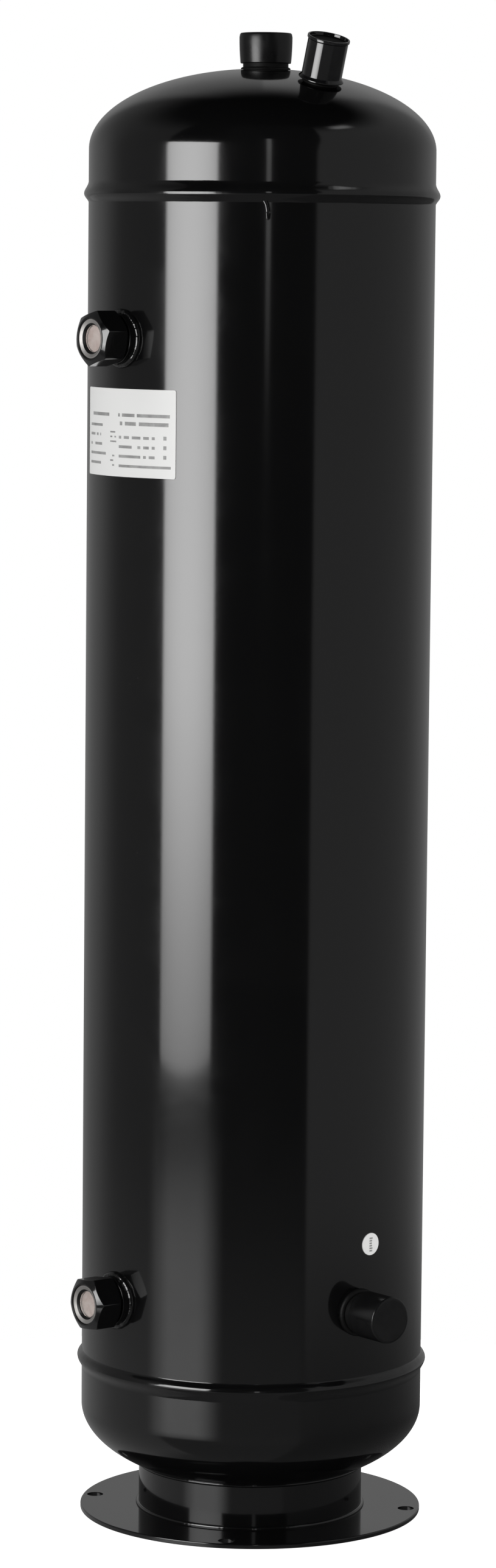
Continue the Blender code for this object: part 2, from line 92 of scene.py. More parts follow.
# %% [markdown]
# ## The camera
# The photographer stood a little over three metres away with a long lens, at about the height of the upper
# sight glass, and looked slightly down. A long lens keeps the shell's sides almost parallel. The small roll
# is the tilt of the hand-held frame. The values come from matching the shell's outline with the picture's.

# %% Place the camera
CAMERA_PLACE = Vector((-5.5, -3177.8, 810.3))
CAMERA_PITCH = 6.101
CAMERA_ROLL = 0.541
CAMERA_LENS = 114.9
CAMERA_SENSOR = 36.0


def degrees_about(axis, angle):
    return Matrix.Rotation(math.radians(angle), 4, axis)


def add_object(name, data):
    made = bpy.data.objects.new(name, data)
    scene.collection.objects.link(made)
    return made


camera = add_object("photo_camera", bpy.data.cameras.new("photo_camera"))
camera.data.lens = CAMERA_LENS
camera.data.sensor_width = CAMERA_SENSOR
level_view = Matrix.Translation(CAMERA_PLACE * MM) @ degrees_about("X", 90 - CAMERA_PITCH)
camera.matrix_world = level_view @ degrees_about("Z", CAMERA_ROLL)
scene.camera = camera
scene.view_settings.view_transform = "Standard"
print("camera stands", round(-CAMERA_PLACE.y), "mm in front of the axis")

# %% [markdown]
# ## The studio
# Gloss black shows almost nothing of its own: what the eye reads is the room mirrored in it. The room could
# be built from cards, but a card beside the tank would block the view from that side. So the room is painted
# on the world instead, as soft-edged panels that each cover a range of azimuth and of elevation. The front
# is dark, grey walls close the sides, and the camera sees white all round. Rays that have bounced off two
# glossy faces, as in the corner above the foot, see the room dimmed, because thick enamel in a corner is
# never as smooth as on the shell.

# %% Small helpers for node trees
def feed(tree, made, inputs):
    """Sets a node's inputs. Each is named or numbered, and takes a value or the socket that feeds it."""
    for key, value in inputs.items():
        if isinstance(value, bpy.types.NodeSocket):
            tree.links.new(value, made.inputs[key])
        else:
            made.inputs[key].default_value = value


def node(tree, kind, inputs=None, **settings):
    made = tree.nodes.new(kind)
    for name, value in settings.items():
        setattr(made, name, value)
    feed(tree, made, inputs or {})
    return made


def output(tree, kind, inputs=None, **settings):
    """Adds a node and gives its first output."""
    return node(tree, kind, inputs, **settings).outputs[0]


def compute(tree, operation, *values):
    return output(tree, "ShaderNodeMath", dict(enumerate(values)), operation=operation)


def times(tree, first, *others):
    for other in others:
        first = compute(tree, "MULTIPLY", first, other)
    return first


def split(tree, vector):
    return node(tree, "ShaderNodeSeparateXYZ", {0: vector}).outputs


def between(tree, factor, low, high):
    """Goes from low to high while the factor goes from 0 to 1."""
    ramp = {"Value": factor, "To Min": low, "To Max": high}
    return output(tree, "ShaderNodeMapRange", ramp)


def smooth_step(tree, value, start, end):
    """Rises from 0 at start to 1 at end."""
    ramp = {"Value": value, "From Min": start, "From Max": end}
    return output(tree, "ShaderNodeMapRange", ramp, interpolation_type="SMOOTHSTEP")


def two_tone(tree, factor, first, second):
    """Blends from one colour to another. A mix node keeps its colours in sockets 6 and 7."""
    mix = {0: factor, 6: (*first, 1), 7: (*second, 1)}
    return node(tree, "ShaderNodeMix", mix, data_type="RGBA").outputs[2]


SOCKET_OF = {int: "Int", float: "Float"}


def new_tree(kind, name, inputs, outputs):
    """A node group, with its inner ends. inputs maps a name to a first value or to a kind of socket."""
    tree = bpy.data.node_groups.new(name, kind)
    for label, value in inputs.items():
        sort = SOCKET_OF.get(type(value), value)
        made = tree.interface.new_socket(label, in_out="INPUT", socket_type="NodeSocket" + sort)
        if sort != value:
            made.default_value = value
    for label, sort in outputs.items():
        tree.interface.new_socket(label, in_out="OUTPUT", socket_type="NodeSocket" + sort)
    return tree, tree.nodes.new("NodeGroupInput").outputs, tree.nodes.new("NodeGroupOutput").inputs


# %% A panel of the studio as a node group
PANEL_SIZES = ("From", "To", "Low", "High", "Side Edge", "Low Edge", "High Edge", "Level", "Lean")


def studio_panel_group():
    sockets = dict.fromkeys(("Azimuth", "Elevation", *PANEL_SIZES), 0.0)
    tree, given, result = new_tree("ShaderNodeTree", "studio_panel", sockets, {"Light": "Float"})

    def band(value, start, end, start_edge, end_edge):
        rise_low = compute(tree, "SUBTRACT", start, start_edge)
        rise_high = compute(tree, "ADD", start, start_edge)
        fall_low = compute(tree, "SUBTRACT", end, end_edge)
        fall_high = compute(tree, "ADD", end, end_edge)
        rise = smooth_step(tree, value, rise_low, rise_high)
        fall = smooth_step(tree, value, fall_high, fall_low)
        return times(tree, rise, fall)

    leaning = times(tree, given["Lean"], compute(tree, "MAXIMUM", given["Elevation"], 0.0))
    start = compute(tree, "ADD", given["From"], leaning)
    across = band(given["Azimuth"], start, given["To"], given["Side Edge"], given["Side Edge"])
    upwards = band(given["Elevation"], given["Low"], given["High"], given["Low Edge"], given["High Edge"])
    tree.links.new(times(tree, across, upwards, given["Level"]), result["Light"])
    return tree


# Name, azimuth from and to, elevation low and high, softness of the sides, of the low end and of the high
# end, brightness, and how far its near edge leans away for a degree of height
STUDIO = [
    ("softbox_in_floor", -66, -28, -18, -10.6, 10.0, 6.5, 0.8, 0.68),
    ("light_stand", 2.6, 5.6, -0.4, 25, 0.9, 1.6, 2.0, 0.70),
    ("right_wall", 36, 200, -11.9, 48, 1.6, 1.6, 10.0, 0.150, 0.17),
    ("right_corner", 125, 200, -8, 14, 12.0, 8.0, 14.0, 0.03),
    ("left_wall", -200, -66, -60, 47, 3.0, 8.0, 14.0, 0.083),
    ("left_corner", -200, -118, -11, 18, 16.0, 10.0, 18.0, 0.11),
    ("front", -30, 40, -30, 60, 8.0, 8.0, 8.0, 0.009),
    ("floor", -200, 34, -80, -11.5, 3.0, 1.6, 1.6, 0.078),
    ("floor_right", 34, 200, -80, -11.5, 3.0, 1.6, 1.6, 0.050),
    ("window", 62, 81, 47, 52, 6.0, 2.0, 3.0, 0.80),
]
MIRRORED = [
    ("backdrop_right", 159, 220, 14, 52, 6.0, 14.0, 12.0, 0.112),
    ("backdrop_left", -220, -159, 14, 52, 6.0, 14.0, 12.0, 0.112),
]
FILL = [
    ("fill_card", 0, 130, -30, 60, 20.0, 20.0, 20.0, 1.20),
    ("left_fill_card", -170, -70, -30, 60, 20.0, 20.0, 20.0, 0.85),
]


# %% Paint the studio on the world
TWICE_MIRRORED = 0.35


def mirror_share(tree, path):
    """Full light for a ray that has met one glossy face, and less for a ray that has met two."""
    return between(tree, compute(tree, "LESS_THAN", path["Glossy Depth"], 1.5), TWICE_MIRRORED, 1.0)


def build_world():
    world = bpy.data.worlds.new("studio")
    world.use_nodes = True
    scene.world = world
    tree = world.node_tree
    tree.nodes.clear()
    x, y, z = split(tree, node(tree, "ShaderNodeTexCoord").outputs["Generated"])
    azimuth = compute(tree, "DEGREES", compute(tree, "ARCTAN2", x, times(tree, y, -1.0)))
    elevation = compute(tree, "DEGREES", compute(tree, "ARCSINE", z))
    panel = studio_panel_group()

    def lit_by(panels):
        total = 0.0
        for label, *sizes in panels:
            inputs = {"Azimuth": azimuth, "Elevation": elevation}
            inputs.update(zip(PANEL_SIZES, sizes))
            light = node(tree, "ShaderNodeGroup", inputs, node_tree=panel, name=label).outputs["Light"]
            total = compute(tree, "ADD", total, light)
        return total

    path = node(tree, "ShaderNodeLightPath").outputs
    seen = compute(tree, "MAXIMUM", path["Is Camera Ray"], path["Is Transmission Ray"])
    mirrored = times(tree, lit_by(MIRRORED), path["Is Glossy Ray"])
    filled = times(tree, lit_by(FILL), path["Is Diffuse Ray"])
    room = compute(tree, "ADD", lit_by(STUDIO), compute(tree, "ADD", mirrored, filled))
    level = compute(tree, "MAXIMUM", times(tree, room, mirror_share(tree, path)), seen)
    light = node(tree, "ShaderNodeBackground", {"Color": (1, 1, 1, 1), "Strength": level})
    node(tree, "ShaderNodeOutputWorld", {"Surface": light.outputs[0]})


build_world()
print("studio panels", len(STUDIO) + len(MIRRORED) + len(FILL))

# %% [markdown]
# ## The softbox
# One tall softbox lights the tank from the left front. It could be painted on the world like the walls, but
# it stands so close that each cap and nut mirrors it at a height of its own. So it is an area lamp that the
# camera doesn't see. Its light fades towards the sides and dims towards the foot, as in a real box.

# %% Set up the softbox
BOX_AZIMUTH = -47.5
BOX_DISTANCE = 1600.0
BOX_SHIFT = 45.0
BOX_WIDTH = 1120.0
BOX_LOW = 50.0
BOX_HIGH = 1250.0
BOX_LEVEL = 4.6
BOX_FOOT_LEVEL = 0.44
BOX_FOOT = 0.36
BOX_FADE = 0.09
BOX_SIDE_LEVEL = 0.68


def softbox_light():
    made = bpy.data.lights.new("softbox", "AREA")
    made.shape = "RECTANGLE"
    made.size = BOX_WIDTH * MM
    made.size_y = (BOX_HIGH - BOX_LOW) * MM
    made.energy = BOX_LEVEL * math.pi * made.size * made.size_y
    made.use_nodes = True
    tree = made.node_tree
    across, upwards, _ = split(tree, node(tree, "ShaderNodeNewGeometry").outputs["Parametric"])
    left_fade = smooth_step(tree, across, 0.0, BOX_FADE)
    right_fade = smooth_step(tree, across, 1.0, 1.0 - BOX_FADE)
    off_centre = compute(tree, "POWER", compute(tree, "MULTIPLY_ADD", across, 2.0, -1.0), 2.0)
    sides = times(tree, left_fade, right_fade, between(tree, off_centre, 1.0, BOX_SIDE_LEVEL))
    from_foot = between(tree, smooth_step(tree, upwards, 0.0, BOX_FOOT), BOX_FOOT_LEVEL, 1.0)
    share = mirror_share(tree, node(tree, "ShaderNodeLightPath").outputs)
    strength = times(tree, sides, from_foot, share)
    tree.links.new(strength, tree.nodes["Emission"].inputs["Strength"])
    return made


softbox = add_object("softbox", softbox_light())
box_place = Vector((BOX_SHIFT, -BOX_DISTANCE, (BOX_LOW + BOX_HIGH) / 2)) * MM
box_turn = degrees_about("Z", BOX_AZIMUTH)
softbox.matrix_world = box_turn @ Matrix.Translation(box_place) @ degrees_about("X", 90)
softbox.visible_camera = False
print("softbox power", round(softbox.data.energy, 1))

# %% [markdown]
# ## The floor
# The tank stands on a pale floor. To the camera the floor is as white as the backdrop, so the join between
# them doesn't show, and a part of its light is real, so the tank still shades it. Rays that bounce off a
# glossy surface pass through it, because the studio's own floor is already painted on the world.

# %% Lay the floor
FLOOR_R = 520.0
FLOOR_DROP = 0.2
FLOOR_GLOW = 0.86
FLOOR_TONES = ((0.80, 0.80, 0.80), (0.84, 0.84, 0.84))


def floor_finish():
    made = bpy.data.materials.new("pale_floor")
    made.use_nodes = True
    tree = made.node_tree
    tree.nodes.clear()
    place = node(tree, "ShaderNodeTexCoord").outputs["Object"]
    grain = node(tree, "ShaderNodeTexNoise", {"Vector": place, "Scale": 9.0, "Detail": 3.0}).outputs["Fac"]
    matte = node(tree, "ShaderNodeBsdfDiffuse", {"Color": two_tone(tree, grain, *FLOOR_TONES)})
    path = node(tree, "ShaderNodeLightPath").outputs
    seen = compute(tree, "MAXIMUM", path["Is Camera Ray"], path["Is Transmission Ray"])
    glow = node(tree, "ShaderNodeEmission", {"Strength": times(tree, seen, FLOOR_GLOW)})
    bright = node(tree, "ShaderNodeAddShader", {0: matte.outputs[0], 1: glow.outputs[0]})
    through = node(tree, "ShaderNodeBsdfTransparent")
    blend = {0: path["Is Glossy Ray"], 1: bright.outputs[0], 2: through.outputs[0]}
    node(tree, "ShaderNodeOutputMaterial", {0: node(tree, "ShaderNodeMixShader", blend).outputs[0]})
    return made


def plain_mesh(name, shape):
    """Turns a shape into a mesh as it is, and lets the shape go."""
    mesh = bpy.data.meshes.new(name)
    shape.to_mesh(mesh)
    shape.free()
    return mesh


def lay_floor():
    shape = bmesh.new()
    bmesh.ops.create_circle(shape, cap_ends=True, segments=96, radius=FLOOR_R * MM)
    bmesh.ops.translate(shape, vec=(0, 0, -FLOOR_DROP * MM), verts=shape.verts)
    floor = add_object("floor", plain_mesh("floor", shape))
    floor.data.materials.append(floor_finish())


lay_floor()
print("floor radius", FLOOR_R)

# %% [markdown]
# ## Effects that several finishes share
# Sprayed enamel is never a perfect mirror: it dries with a fine orange peel, hands and packing leave
# smudges, and dust settles on it. These could be drawn anew in each material. A node group holds each of
# them once instead, with inputs for its size and amount, and puts out a value that changes over the surface.

# %% Orange peel, smudges and dust as node groups
def orange_peel_group():
    sockets = {"Vector": "Vector", "Size": 3.0}
    tree, given, result = new_tree("ShaderNodeTree", "orange_peel", sockets, {"Height": "Float"})
    scale = compute(tree, "DIVIDE", 1 / MM, given["Size"])
    coarse = {"Vector": given["Vector"], "Scale": scale, "Detail": 1.5, "Roughness": 0.4}
    tree.links.new(node(tree, "ShaderNodeTexNoise", coarse).outputs["Fac"], result["Height"])
    return tree


def smudge_group():
    sockets = {"Vector": "Vector", "Size": 40.0, "Contrast": 0.2}
    tree, given, result = new_tree("ShaderNodeTree", "smudges", sockets, {"Mask": "Float"})
    scale = compute(tree, "DIVIDE", 1 / MM, given["Size"])
    cloud = {"Vector": given["Vector"], "Scale": scale, "Detail": 5.0, "Roughness": 0.62, "Distortion": 0.6}
    value = node(tree, "ShaderNodeTexNoise", cloud).outputs["Fac"]
    low = compute(tree, "SUBTRACT", 0.55, given["Contrast"])
    high = compute(tree, "ADD", 0.55, given["Contrast"])
    tree.links.new(smooth_step(tree, value, low, high), result["Mask"])
    return tree


def dust_group():
    sockets = {"Vector": "Vector", "Spacing": 6.0, "Amount": 0.2}
    tree, given, result = new_tree("ShaderNodeTree", "dust_specks", sockets, {"Mask": "Float"})
    scale = compute(tree, "DIVIDE", 1 / MM, given["Spacing"])
    cell = node(tree, "ShaderNodeTexVoronoi", {"Vector": given["Vector"], "Scale": scale}).outputs
    draw = node(tree, "ShaderNodeSeparateColor", {0: cell["Color"]}).outputs
    chosen = compute(tree, "LESS_THAN", draw[0], given["Amount"])
    size = compute(tree, "MULTIPLY_ADD", draw[1], 0.05, 0.02)
    speck = smooth_step(tree, cell["Distance"], size, 0.0)
    tree.links.new(times(tree, speck, chosen), result["Mask"])
    return tree


orange_peel = orange_peel_group()
smudges = smudge_group()
dust_specks = dust_group()
print("shared effects:", orange_peel.name, smudges.name, dust_specks.name)

# %% [markdown]
# ## The black enamel
# The vessel was sprayed black after it was welded, so shell, heads, foot and welds share one enamel. It
# could be a dark colour with a low roughness. Here a clear coat lies over the dark coat, which gives the
# double gloss of thick enamel. Smudges and dust dull it in places, and the peel bends the mirrored softbox a
# little.

# %% Mix the enamel
ENAMEL_AND_DUST = ((0.0042, 0.0042, 0.0044), (0.10, 0.095, 0.09))


def new_finish(name):
    """A node material for one of the tank's finishes."""
    made = bpy.data.materials.new(name)
    made.use_nodes = True
    tree = made.node_tree
    shader = tree.nodes["Principled BSDF"]
    place = node(tree, "ShaderNodeTexCoord").outputs["Object"]
    return made, tree, shader, place


def effect(tree, group, place, **values):
    return output(tree, "ShaderNodeGroup", {"Vector": place, **values}, node_tree=group)


def bumped(tree, shader, height, strength, depth):
    bump = {"Height": height, "Strength": strength, "Distance": depth * MM}
    tree.links.new(node(tree, "ShaderNodeBump", bump).outputs[0], shader.inputs["Normal"])


def black_enamel(name, peel_depth):
    made, tree, shader, place = new_finish(name)
    dust = effect(tree, dust_specks, place, Spacing=5.0, Amount=0.16)
    handled = effect(tree, smudges, place, Size=55.0, Contrast=0.16)
    gloss = between(tree, handled, 0.12, 0.17)
    look = {"Coat Weight": 1.0, "Coat IOR": 1.65, "Coat Roughness": 0.06}
    look["Base Color"] = two_tone(tree, times(tree, dust, 0.6), *ENAMEL_AND_DUST)
    look["Roughness"] = compute(tree, "ADD", gloss, times(tree, dust, 0.3))
    feed(tree, shader, look)
    bumped(tree, shader, effect(tree, orange_peel, place, Size=3.2), 0.5, peel_depth)
    return made


def mottled(name, slot, smudge, colours, roughness, grain=None, **constants):
    """A finish that changes a little where it is smudged. smudge and grain give a size first."""
    made, tree, shader, place = new_finish(name)
    mask = effect(tree, smudges, place, Size=smudge[0], Contrast=smudge[1])
    look = {label.replace("_", " "): value for label, value in constants.items()}
    look["Base Color"] = two_tone(tree, mask, *colours)
    look["Roughness"] = between(tree, mask, *roughness)
    feed(tree, shader, look)
    if grain:
        size, strength, depth = grain
        bumped(tree, shader, effect(tree, orange_peel, place, Size=size), strength, depth)
    return made


def grey(level):
    return (level, level, level)


ENAMEL = black_enamel("black_enamel", 0.02)
WELD_ENAMEL = black_enamel("black_enamel_on_weld", 0.10)
DULL_ENAMEL = mottled(
    "dull_enamel", "black_paint", (4.0, 0.25), (grey(0.004), grey(0.008)), (0.5, 0.62), (1.2, 0.5, 0.04),
    Specular_IOR_Level=0.3,
)

# %% [markdown]
# ## The caps' rubber and plastic
# Two caps are satin rubber with a soft highlight, and the slanted one is hard glossy plastic with a crisp
# one. The difference is roughness: the rubber scatters the softbox into a broad glow. A fine grain keeps
# both from looking like a flat colour.

# %% Mix the rubber and the plastic
BLOOM = 1.7


def dull_black(name, slot, colour, roughness, gloss):
    pale = [BLOOM * part for part in colour]
    rough = (roughness, roughness + 0.08)
    grain = (0.7, 0.5, 0.02)
    return mottled(name, slot, (14.0, 0.22), (colour, pale), rough, grain, Specular_IOR_Level=gloss)


SATIN_RUBBER = dull_black("satin_rubber", "black_rubber", (0.004, 0.004, 0.0042), 0.27, 0.75)
MATTE_RUBBER = dull_black("matte_rubber", "black_rubber", (0.006, 0.006, 0.0062), 0.20, 0.5)
PLASTIC = mottled(
    "gloss_plastic", "black_plastic", (10.0, 0.2), ((0.006, 0.006, 0.0065), (0.011, 0.011, 0.0115)),
    (0.05, 0.08), (2.5, 0.4, 0.015), Specular_IOR_Level=0.8, Coat_Weight=0.8, Coat_Roughness=0.03,
)
MOULDED_PLASTIC = dull_black("moulded_plastic", "black_plastic", (0.004, 0.004, 0.0042), 0.6, 0.2)

# %% [markdown]
# ## The bare metals, the glass and the seals
# Under the caps the stubs keep bare steel, because a cap was on when the tank was sprayed. The window's ring
# is nickel-plated to a satin, and its indicator disc is a coppery sheet. Metals take their colour from what
# they mirror, so their own variation is in roughness and in a light tarnish.

# %% Mix the metals, the glass and the seal
METAL_GRAIN = (0.5, 0.3, 0.006)
STEEL = mottled(
    "machined_steel", "bare_steel", (9.0, 0.25), ((0.47, 0.46, 0.44), (0.38, 0.36, 0.33)), (0.28, 0.46),
    METAL_GRAIN, Metallic=1.0,
)
NICKEL = mottled(
    "nickel_plate", "nickel", (5.0, 0.25), ((0.74, 0.72, 0.70), (0.64, 0.62, 0.60)), (0.44, 0.58),
    METAL_GRAIN, Metallic=1.0,
)
COPPER = mottled(
    "coppery_sheet", "copper", (6.0, 0.2), ((0.58, 0.50, 0.47), (0.46, 0.35, 0.32)), (0.40, 0.52),
    (1.5, 0.3, 0.02),
)
GLASS = mottled(
    "window_glass", "clear_glass", (5.0, 0.3), ((0.97, 0.97, 0.96), (0.93, 0.92, 0.91)), (0.01, 0.06),
    Transmission_Weight=1.0, IOR=1.47,
)
SEAL = mottled(
    "seal_plastic", "seal_white", (6.0, 0.25), ((0.80, 0.79, 0.75), (0.72, 0.71, 0.67)), (0.5, 0.6),
)

# %% [markdown]
# ## Turning a piece on a lathe
# Most pieces of the tank are turned: an outline goes round an axis. Blender's Screw modifier could do that,
# but the hexagon nuts and the weld-on stubs need an outline that changes with the angle. So a small function
# turns a rule instead. It rounds each corner as a tool would, and keeps a point close beside the rounding on
# each straight run, so that the smooth shading doesn't bend the flat parts.

# %% Round an outline and turn it
MERGE = 0.001
ROUND_STEPS = 4
ROUND_SHARE = 0.45
ROUND_GUARD = 0.1


def rounded(corners):
    """Rounds an outline. A corner is (radius, height) or (radius, height, rounding)."""
    points = []
    for at, corner in enumerate(corners):
        here = Vector(corner[:2])
        rounding = corner[2] if len(corner) > 2 else 0
        if rounding == 0:
            points.append(here)
            continue
        back = Vector(corners[at - 1][:2]) - here
        ahead = Vector(corners[(at + 1) % len(corners)][:2]) - here
        half = back.angle(ahead) / 2
        reach = min(rounding / math.tan(half), ROUND_SHARE * back.length, ROUND_SHARE * ahead.length)
        start = here + back.normalized() * reach
        end = here + ahead.normalized() * reach
        points.append(start + back.normalized() * ROUND_GUARD * reach)
        for step in range(ROUND_STEPS + 1):
            share = step / ROUND_STEPS
            points.append(start.lerp(here, share).lerp(here.lerp(end, share), share))
        points.append(end + ahead.normalized() * ROUND_GUARD * reach)
    return points


def turned(outline, sides):
    """A closed shape round Z, in millimetres. outline is a list of corners or a rule for one by angle."""
    shape = bmesh.new()
    columns = []
    fixed = None if callable(outline) else rounded(outline)
    for side in range(sides):
        angle = 2 * math.pi * side / sides
        points = fixed or rounded(outline(angle))
        turn = Vector((math.cos(angle), math.sin(angle)))
        columns.append([shape.verts.new((r * turn.x, r * turn.y, z)) for r, z in points])
    count = len(columns[0])
    for side in range(sides):
        near, far = columns[side - 1], columns[side]
        for at in range(count):
            shape.faces.new((near[at - 1], far[at - 1], far[at], near[at]))
    bmesh.ops.remove_doubles(shape, verts=shape.verts, dist=MERGE)
    bmesh.ops.dissolve_degenerate(shape, edges=shape.edges, dist=MERGE / 2)
    bmesh.ops.recalc_face_normals(shape, faces=shape.faces)
    return shape


# %% Place a piece on the tank
BODY_OF = {}
for body, members in frame["record"]["behaviour"]["bodies"].items():
    for member in members:
        BODY_OF[member] = body
SHARP_ANGLE = math.radians(40)
DRILL_SIDES = 96


def to_mesh(name, shape, place=Matrix()):
    """Turns a shape in millimetres into a mesh in metres, moved by place, which is in millimetres too."""
    bmesh.ops.transform(shape, matrix=Matrix.Scale(MM, 4) @ place, verts=shape.verts)
    return plain_mesh(name, shape)


def put_on(made, solid, finish=None):
    """Shades a piece, gives it a finish and lets it stand for a solid of the tank."""
    mesh = made.data
    if finish:
        mesh.materials.clear()
        mesh.materials.append(finish)
    mesh.shade_smooth()
    mesh.set_sharp_from_angle(angle=SHARP_ANGLE)
    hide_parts(solid)
    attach(made, BODY_OF[solid])
    mesh.calc_loop_triangles()
    print(f"{made.name}: {len(mesh.loop_triangles)} triangles for {solid}")


def piece(name, solid, shape, finish, place=Matrix()):
    put_on(add_object(name, to_mesh(name, shape, place)), solid, finish)


def turned_piece(name, solid, outline, sides, finish, place=Matrix()):
    piece(name, solid, turned(outline, sides), finish, place)


def two_finish_piece(name, solid, shape, finishes, is_second, place):
    """A piece with two finishes. is_second tells from a face's middle whether it has the second one."""
    for face in shape.faces:
        face.material_index = int(is_second(face.calc_center_median()))
    mesh = to_mesh(name, shape, place)
    for one in finishes:
        mesh.materials.append(one)
    put_on(add_object(name, mesh), solid)


def drilled(made, rods):
    """Cuts rods, given as (place, radius, low, high), out of an object's mesh."""
    cutters = []
    for place, radius, low, high in rods:
        rod = turned([(0, low), (radius, low), (radius, high), (0, high)], DRILL_SIDES)
        cutters.append(add_object("drill", to_mesh("drill", rod, place)))
        made.modifiers.new("drill", "BOOLEAN").object = cutters[-1]
    graph = bpy.context.evaluated_depsgraph_get()
    made.data = bpy.data.meshes.new_from_object(made.evaluated_get(graph))
    made.modifiers.clear()
    for cutter in cutters:
        bpy.data.objects.remove(cutter)
    return made


# %% Frames of the fittings
AXIS_OF = {}
for joint in frame["joints"]:
    AXIS_OF[joint["name"]] = Vector(joint["axis"])


def fitting_frame(anchor, axis):
    """A frame in millimetres at anchor, with Z along axis, X level and Y rising."""
    upright = Vector((0, 0, 1))
    level = upright.cross(axis)
    if level.length < 0.01:
        level = Vector((1, 0, 0))
    level.normalize()
    turned_axes = Matrix((level, axis.cross(level), axis)).transposed().to_4x4()
    return Matrix.Translation(anchor) @ turned_axes


RELIEF_STAND = 25.1
RELIEF_TAIL = 11.0
relief_axis = AXIS_OF["relief_cap_pull"]
relief_anchor = middle("relief_stub") - relief_axis * (RELIEF_STAND - RELIEF_TAIL) / 2
inlet_middle = middle("inlet_stub")
CROWN = TOP_TANGENT + HEAD_RISE
INLET = fitting_frame(Vector((inlet_middle.x, inlet_middle.y, CROWN)), Vector((0, 0, 1)))
RELIEF = fitting_frame(relief_anchor, relief_axis)
OUTLET = fitting_frame(Vector((0, 0, middle("outlet_stub").z)), AXIS_OF["outlet_cap_pull"])
GLASSES = {}
for level in ("upper", "lower"):
    height = middle(level + "_glass_boss").z
    GLASSES[level] = fitting_frame(Vector((0, 0, height)), AXIS_OF[level + "_window_slide"])
print("relief port at", [round(v, 1) for v in relief_anchor])

# %% [markdown]
# ## The shell
# The shell is a length of steel pipe. A cylinder from Blender's menu would look right from far away, but the
# stubs and bosses pass through its wall. So it is turned with a real wall, in rings close enough for clean
# holes, and drilled where the fittings go through.

# %% Turn and drill the shell
ROOT_HALF = 0.5
SHELL_SIDES = 256
SHELL_RINGS = 74
FIT = 0.3
OUTLET_R = 12.7
BOSS_R = 15.5


def outward(azimuth):
    """Which way is straight out of the shell, at an angle from the camera's side towards the right."""
    turn = math.radians(azimuth)
    return Vector((math.sin(turn), -math.cos(turn), 0.0))


def shell_outline():
    low = LOW_SEAM + ROOT_HALF
    high = TOP_SEAM - ROOT_HALF
    outside = [(SHELL_R, low + (high - low) * step / SHELL_RINGS) for step in range(SHELL_RINGS + 1)]
    return outside + [(SHELL_R - WALL, high), (SHELL_R - WALL, low)]


def build_shell():
    mesh = to_mesh("shell_wall", turned(shell_outline(), SHELL_SIDES))
    shell = add_object("shell_wall", mesh)
    near, far = SHELL_R - 4 * WALL, SHELL_R + 2 * WALL
    rods = [(OUTLET, OUTLET_R + FIT, near, far)]
    rods += [(place, BOSS_R + FIT, near, far) for place in GLASSES.values()]
    put_on(drilled(shell, rods), "shell_tube", ENAMEL)


build_shell()

# %% [markdown]
# ## The dished heads
# A head is pressed from plate to half an ellipse that is a little over twice as wide as it is high, on a
# short straight skirt. That is a rule, so a geometry tree makes it: a flat grid is bent by its two
# directions, one round the axis and one up the skirt and over the dish. Solidify then gives the plate its
# thickness.

# %% The tree of a dished head
SKIRT_SHARE = 0.12


def dished_head_tree():
    sockets = {"Radius": 1.0, "Rise": 1.0, "Straight": 1.0, "Way Up": 1.0, "Columns": 9, "Rows": 9}
    sockets["Finish"] = "Material"
    tree, given, result = new_tree("GeometryNodeTree", "dished_head", sockets, {"Head": "Geometry"})
    sheet = {"Size X": 1.0, "Size Y": 1.0, "Vertices X": given["Columns"], "Vertices Y": given["Rows"]}
    grid = node(tree, "GeometryNodeMeshGrid", sheet).outputs["Mesh"]
    flat_x, flat_y, _ = split(tree, output(tree, "GeometryNodeInputPosition"))
    around = times(tree, compute(tree, "ADD", flat_x, 0.5), 2 * math.pi)
    along = compute(tree, "ADD", flat_y, 0.5)
    up_skirt = output(tree, "ShaderNodeMapRange", {"Value": along, "From Max": SKIRT_SHARE})
    over = {"Value": along, "From Min": SKIRT_SHARE, "From Max": 1.0, "To Max": math.pi / 2}
    over_dish = output(tree, "ShaderNodeMapRange", over)
    radius = times(tree, given["Radius"], compute(tree, "COSINE", over_dish))
    skirt = times(tree, given["Straight"], up_skirt)
    dish = times(tree, given["Rise"], compute(tree, "SINE", over_dish))
    height = times(tree, compute(tree, "ADD", skirt, dish), given["Way Up"])
    x = times(tree, radius, compute(tree, "COSINE", around))
    y = times(tree, radius, compute(tree, "SINE", around))
    bent = output(tree, "ShaderNodeCombineXYZ", {"X": x, "Y": y, "Z": height})
    moved = output(tree, "GeometryNodeSetPosition", {"Geometry": grid, "Position": bent})
    closed = output(tree, "GeometryNodeMergeByDistance", {"Geometry": moved, "Distance": MERGE})
    end_tree(tree, closed, given, result["Head"])
    return tree


def end_tree(tree, geometry, given, result):
    """Ends a tree: real meshes instead of instances, and the finish."""
    real = output(tree, "GeometryNodeRealizeInstances", {0: geometry})
    dressed = node(tree, "GeometryNodeSetMaterial", {"Geometry": real, "Material": given["Finish"]})
    tree.links.new(dressed.outputs[0], result)


def grown(tree, base=None, **values):
    """Runs a geometry tree on a mesh, or on nothing, and gives a shape in millimetres."""
    holder = add_object("holder", base or bpy.data.meshes.new("nothing"))
    modifier = holder.modifiers.new("tree", "NODES")
    modifier.node_group = tree
    for item in tree.interface.items_tree:
        key = item.name.replace(" ", "_")
        if item.in_out == "INPUT" and key in values:
            modifier[item.identifier] = values[key]
    graph = bpy.context.evaluated_depsgraph_get()
    mesh = bpy.data.meshes.new_from_object(holder.evaluated_get(graph))
    bpy.data.objects.remove(holder)
    shape = bmesh.new()
    shape.from_mesh(mesh)
    bpy.data.meshes.remove(mesh)
    bmesh.ops.recalc_face_normals(shape, faces=shape.faces)
    return shape


# %% Make both heads
HEAD_ROWS = 46
INLET_R = 14.3
RELIEF_R = 10.3


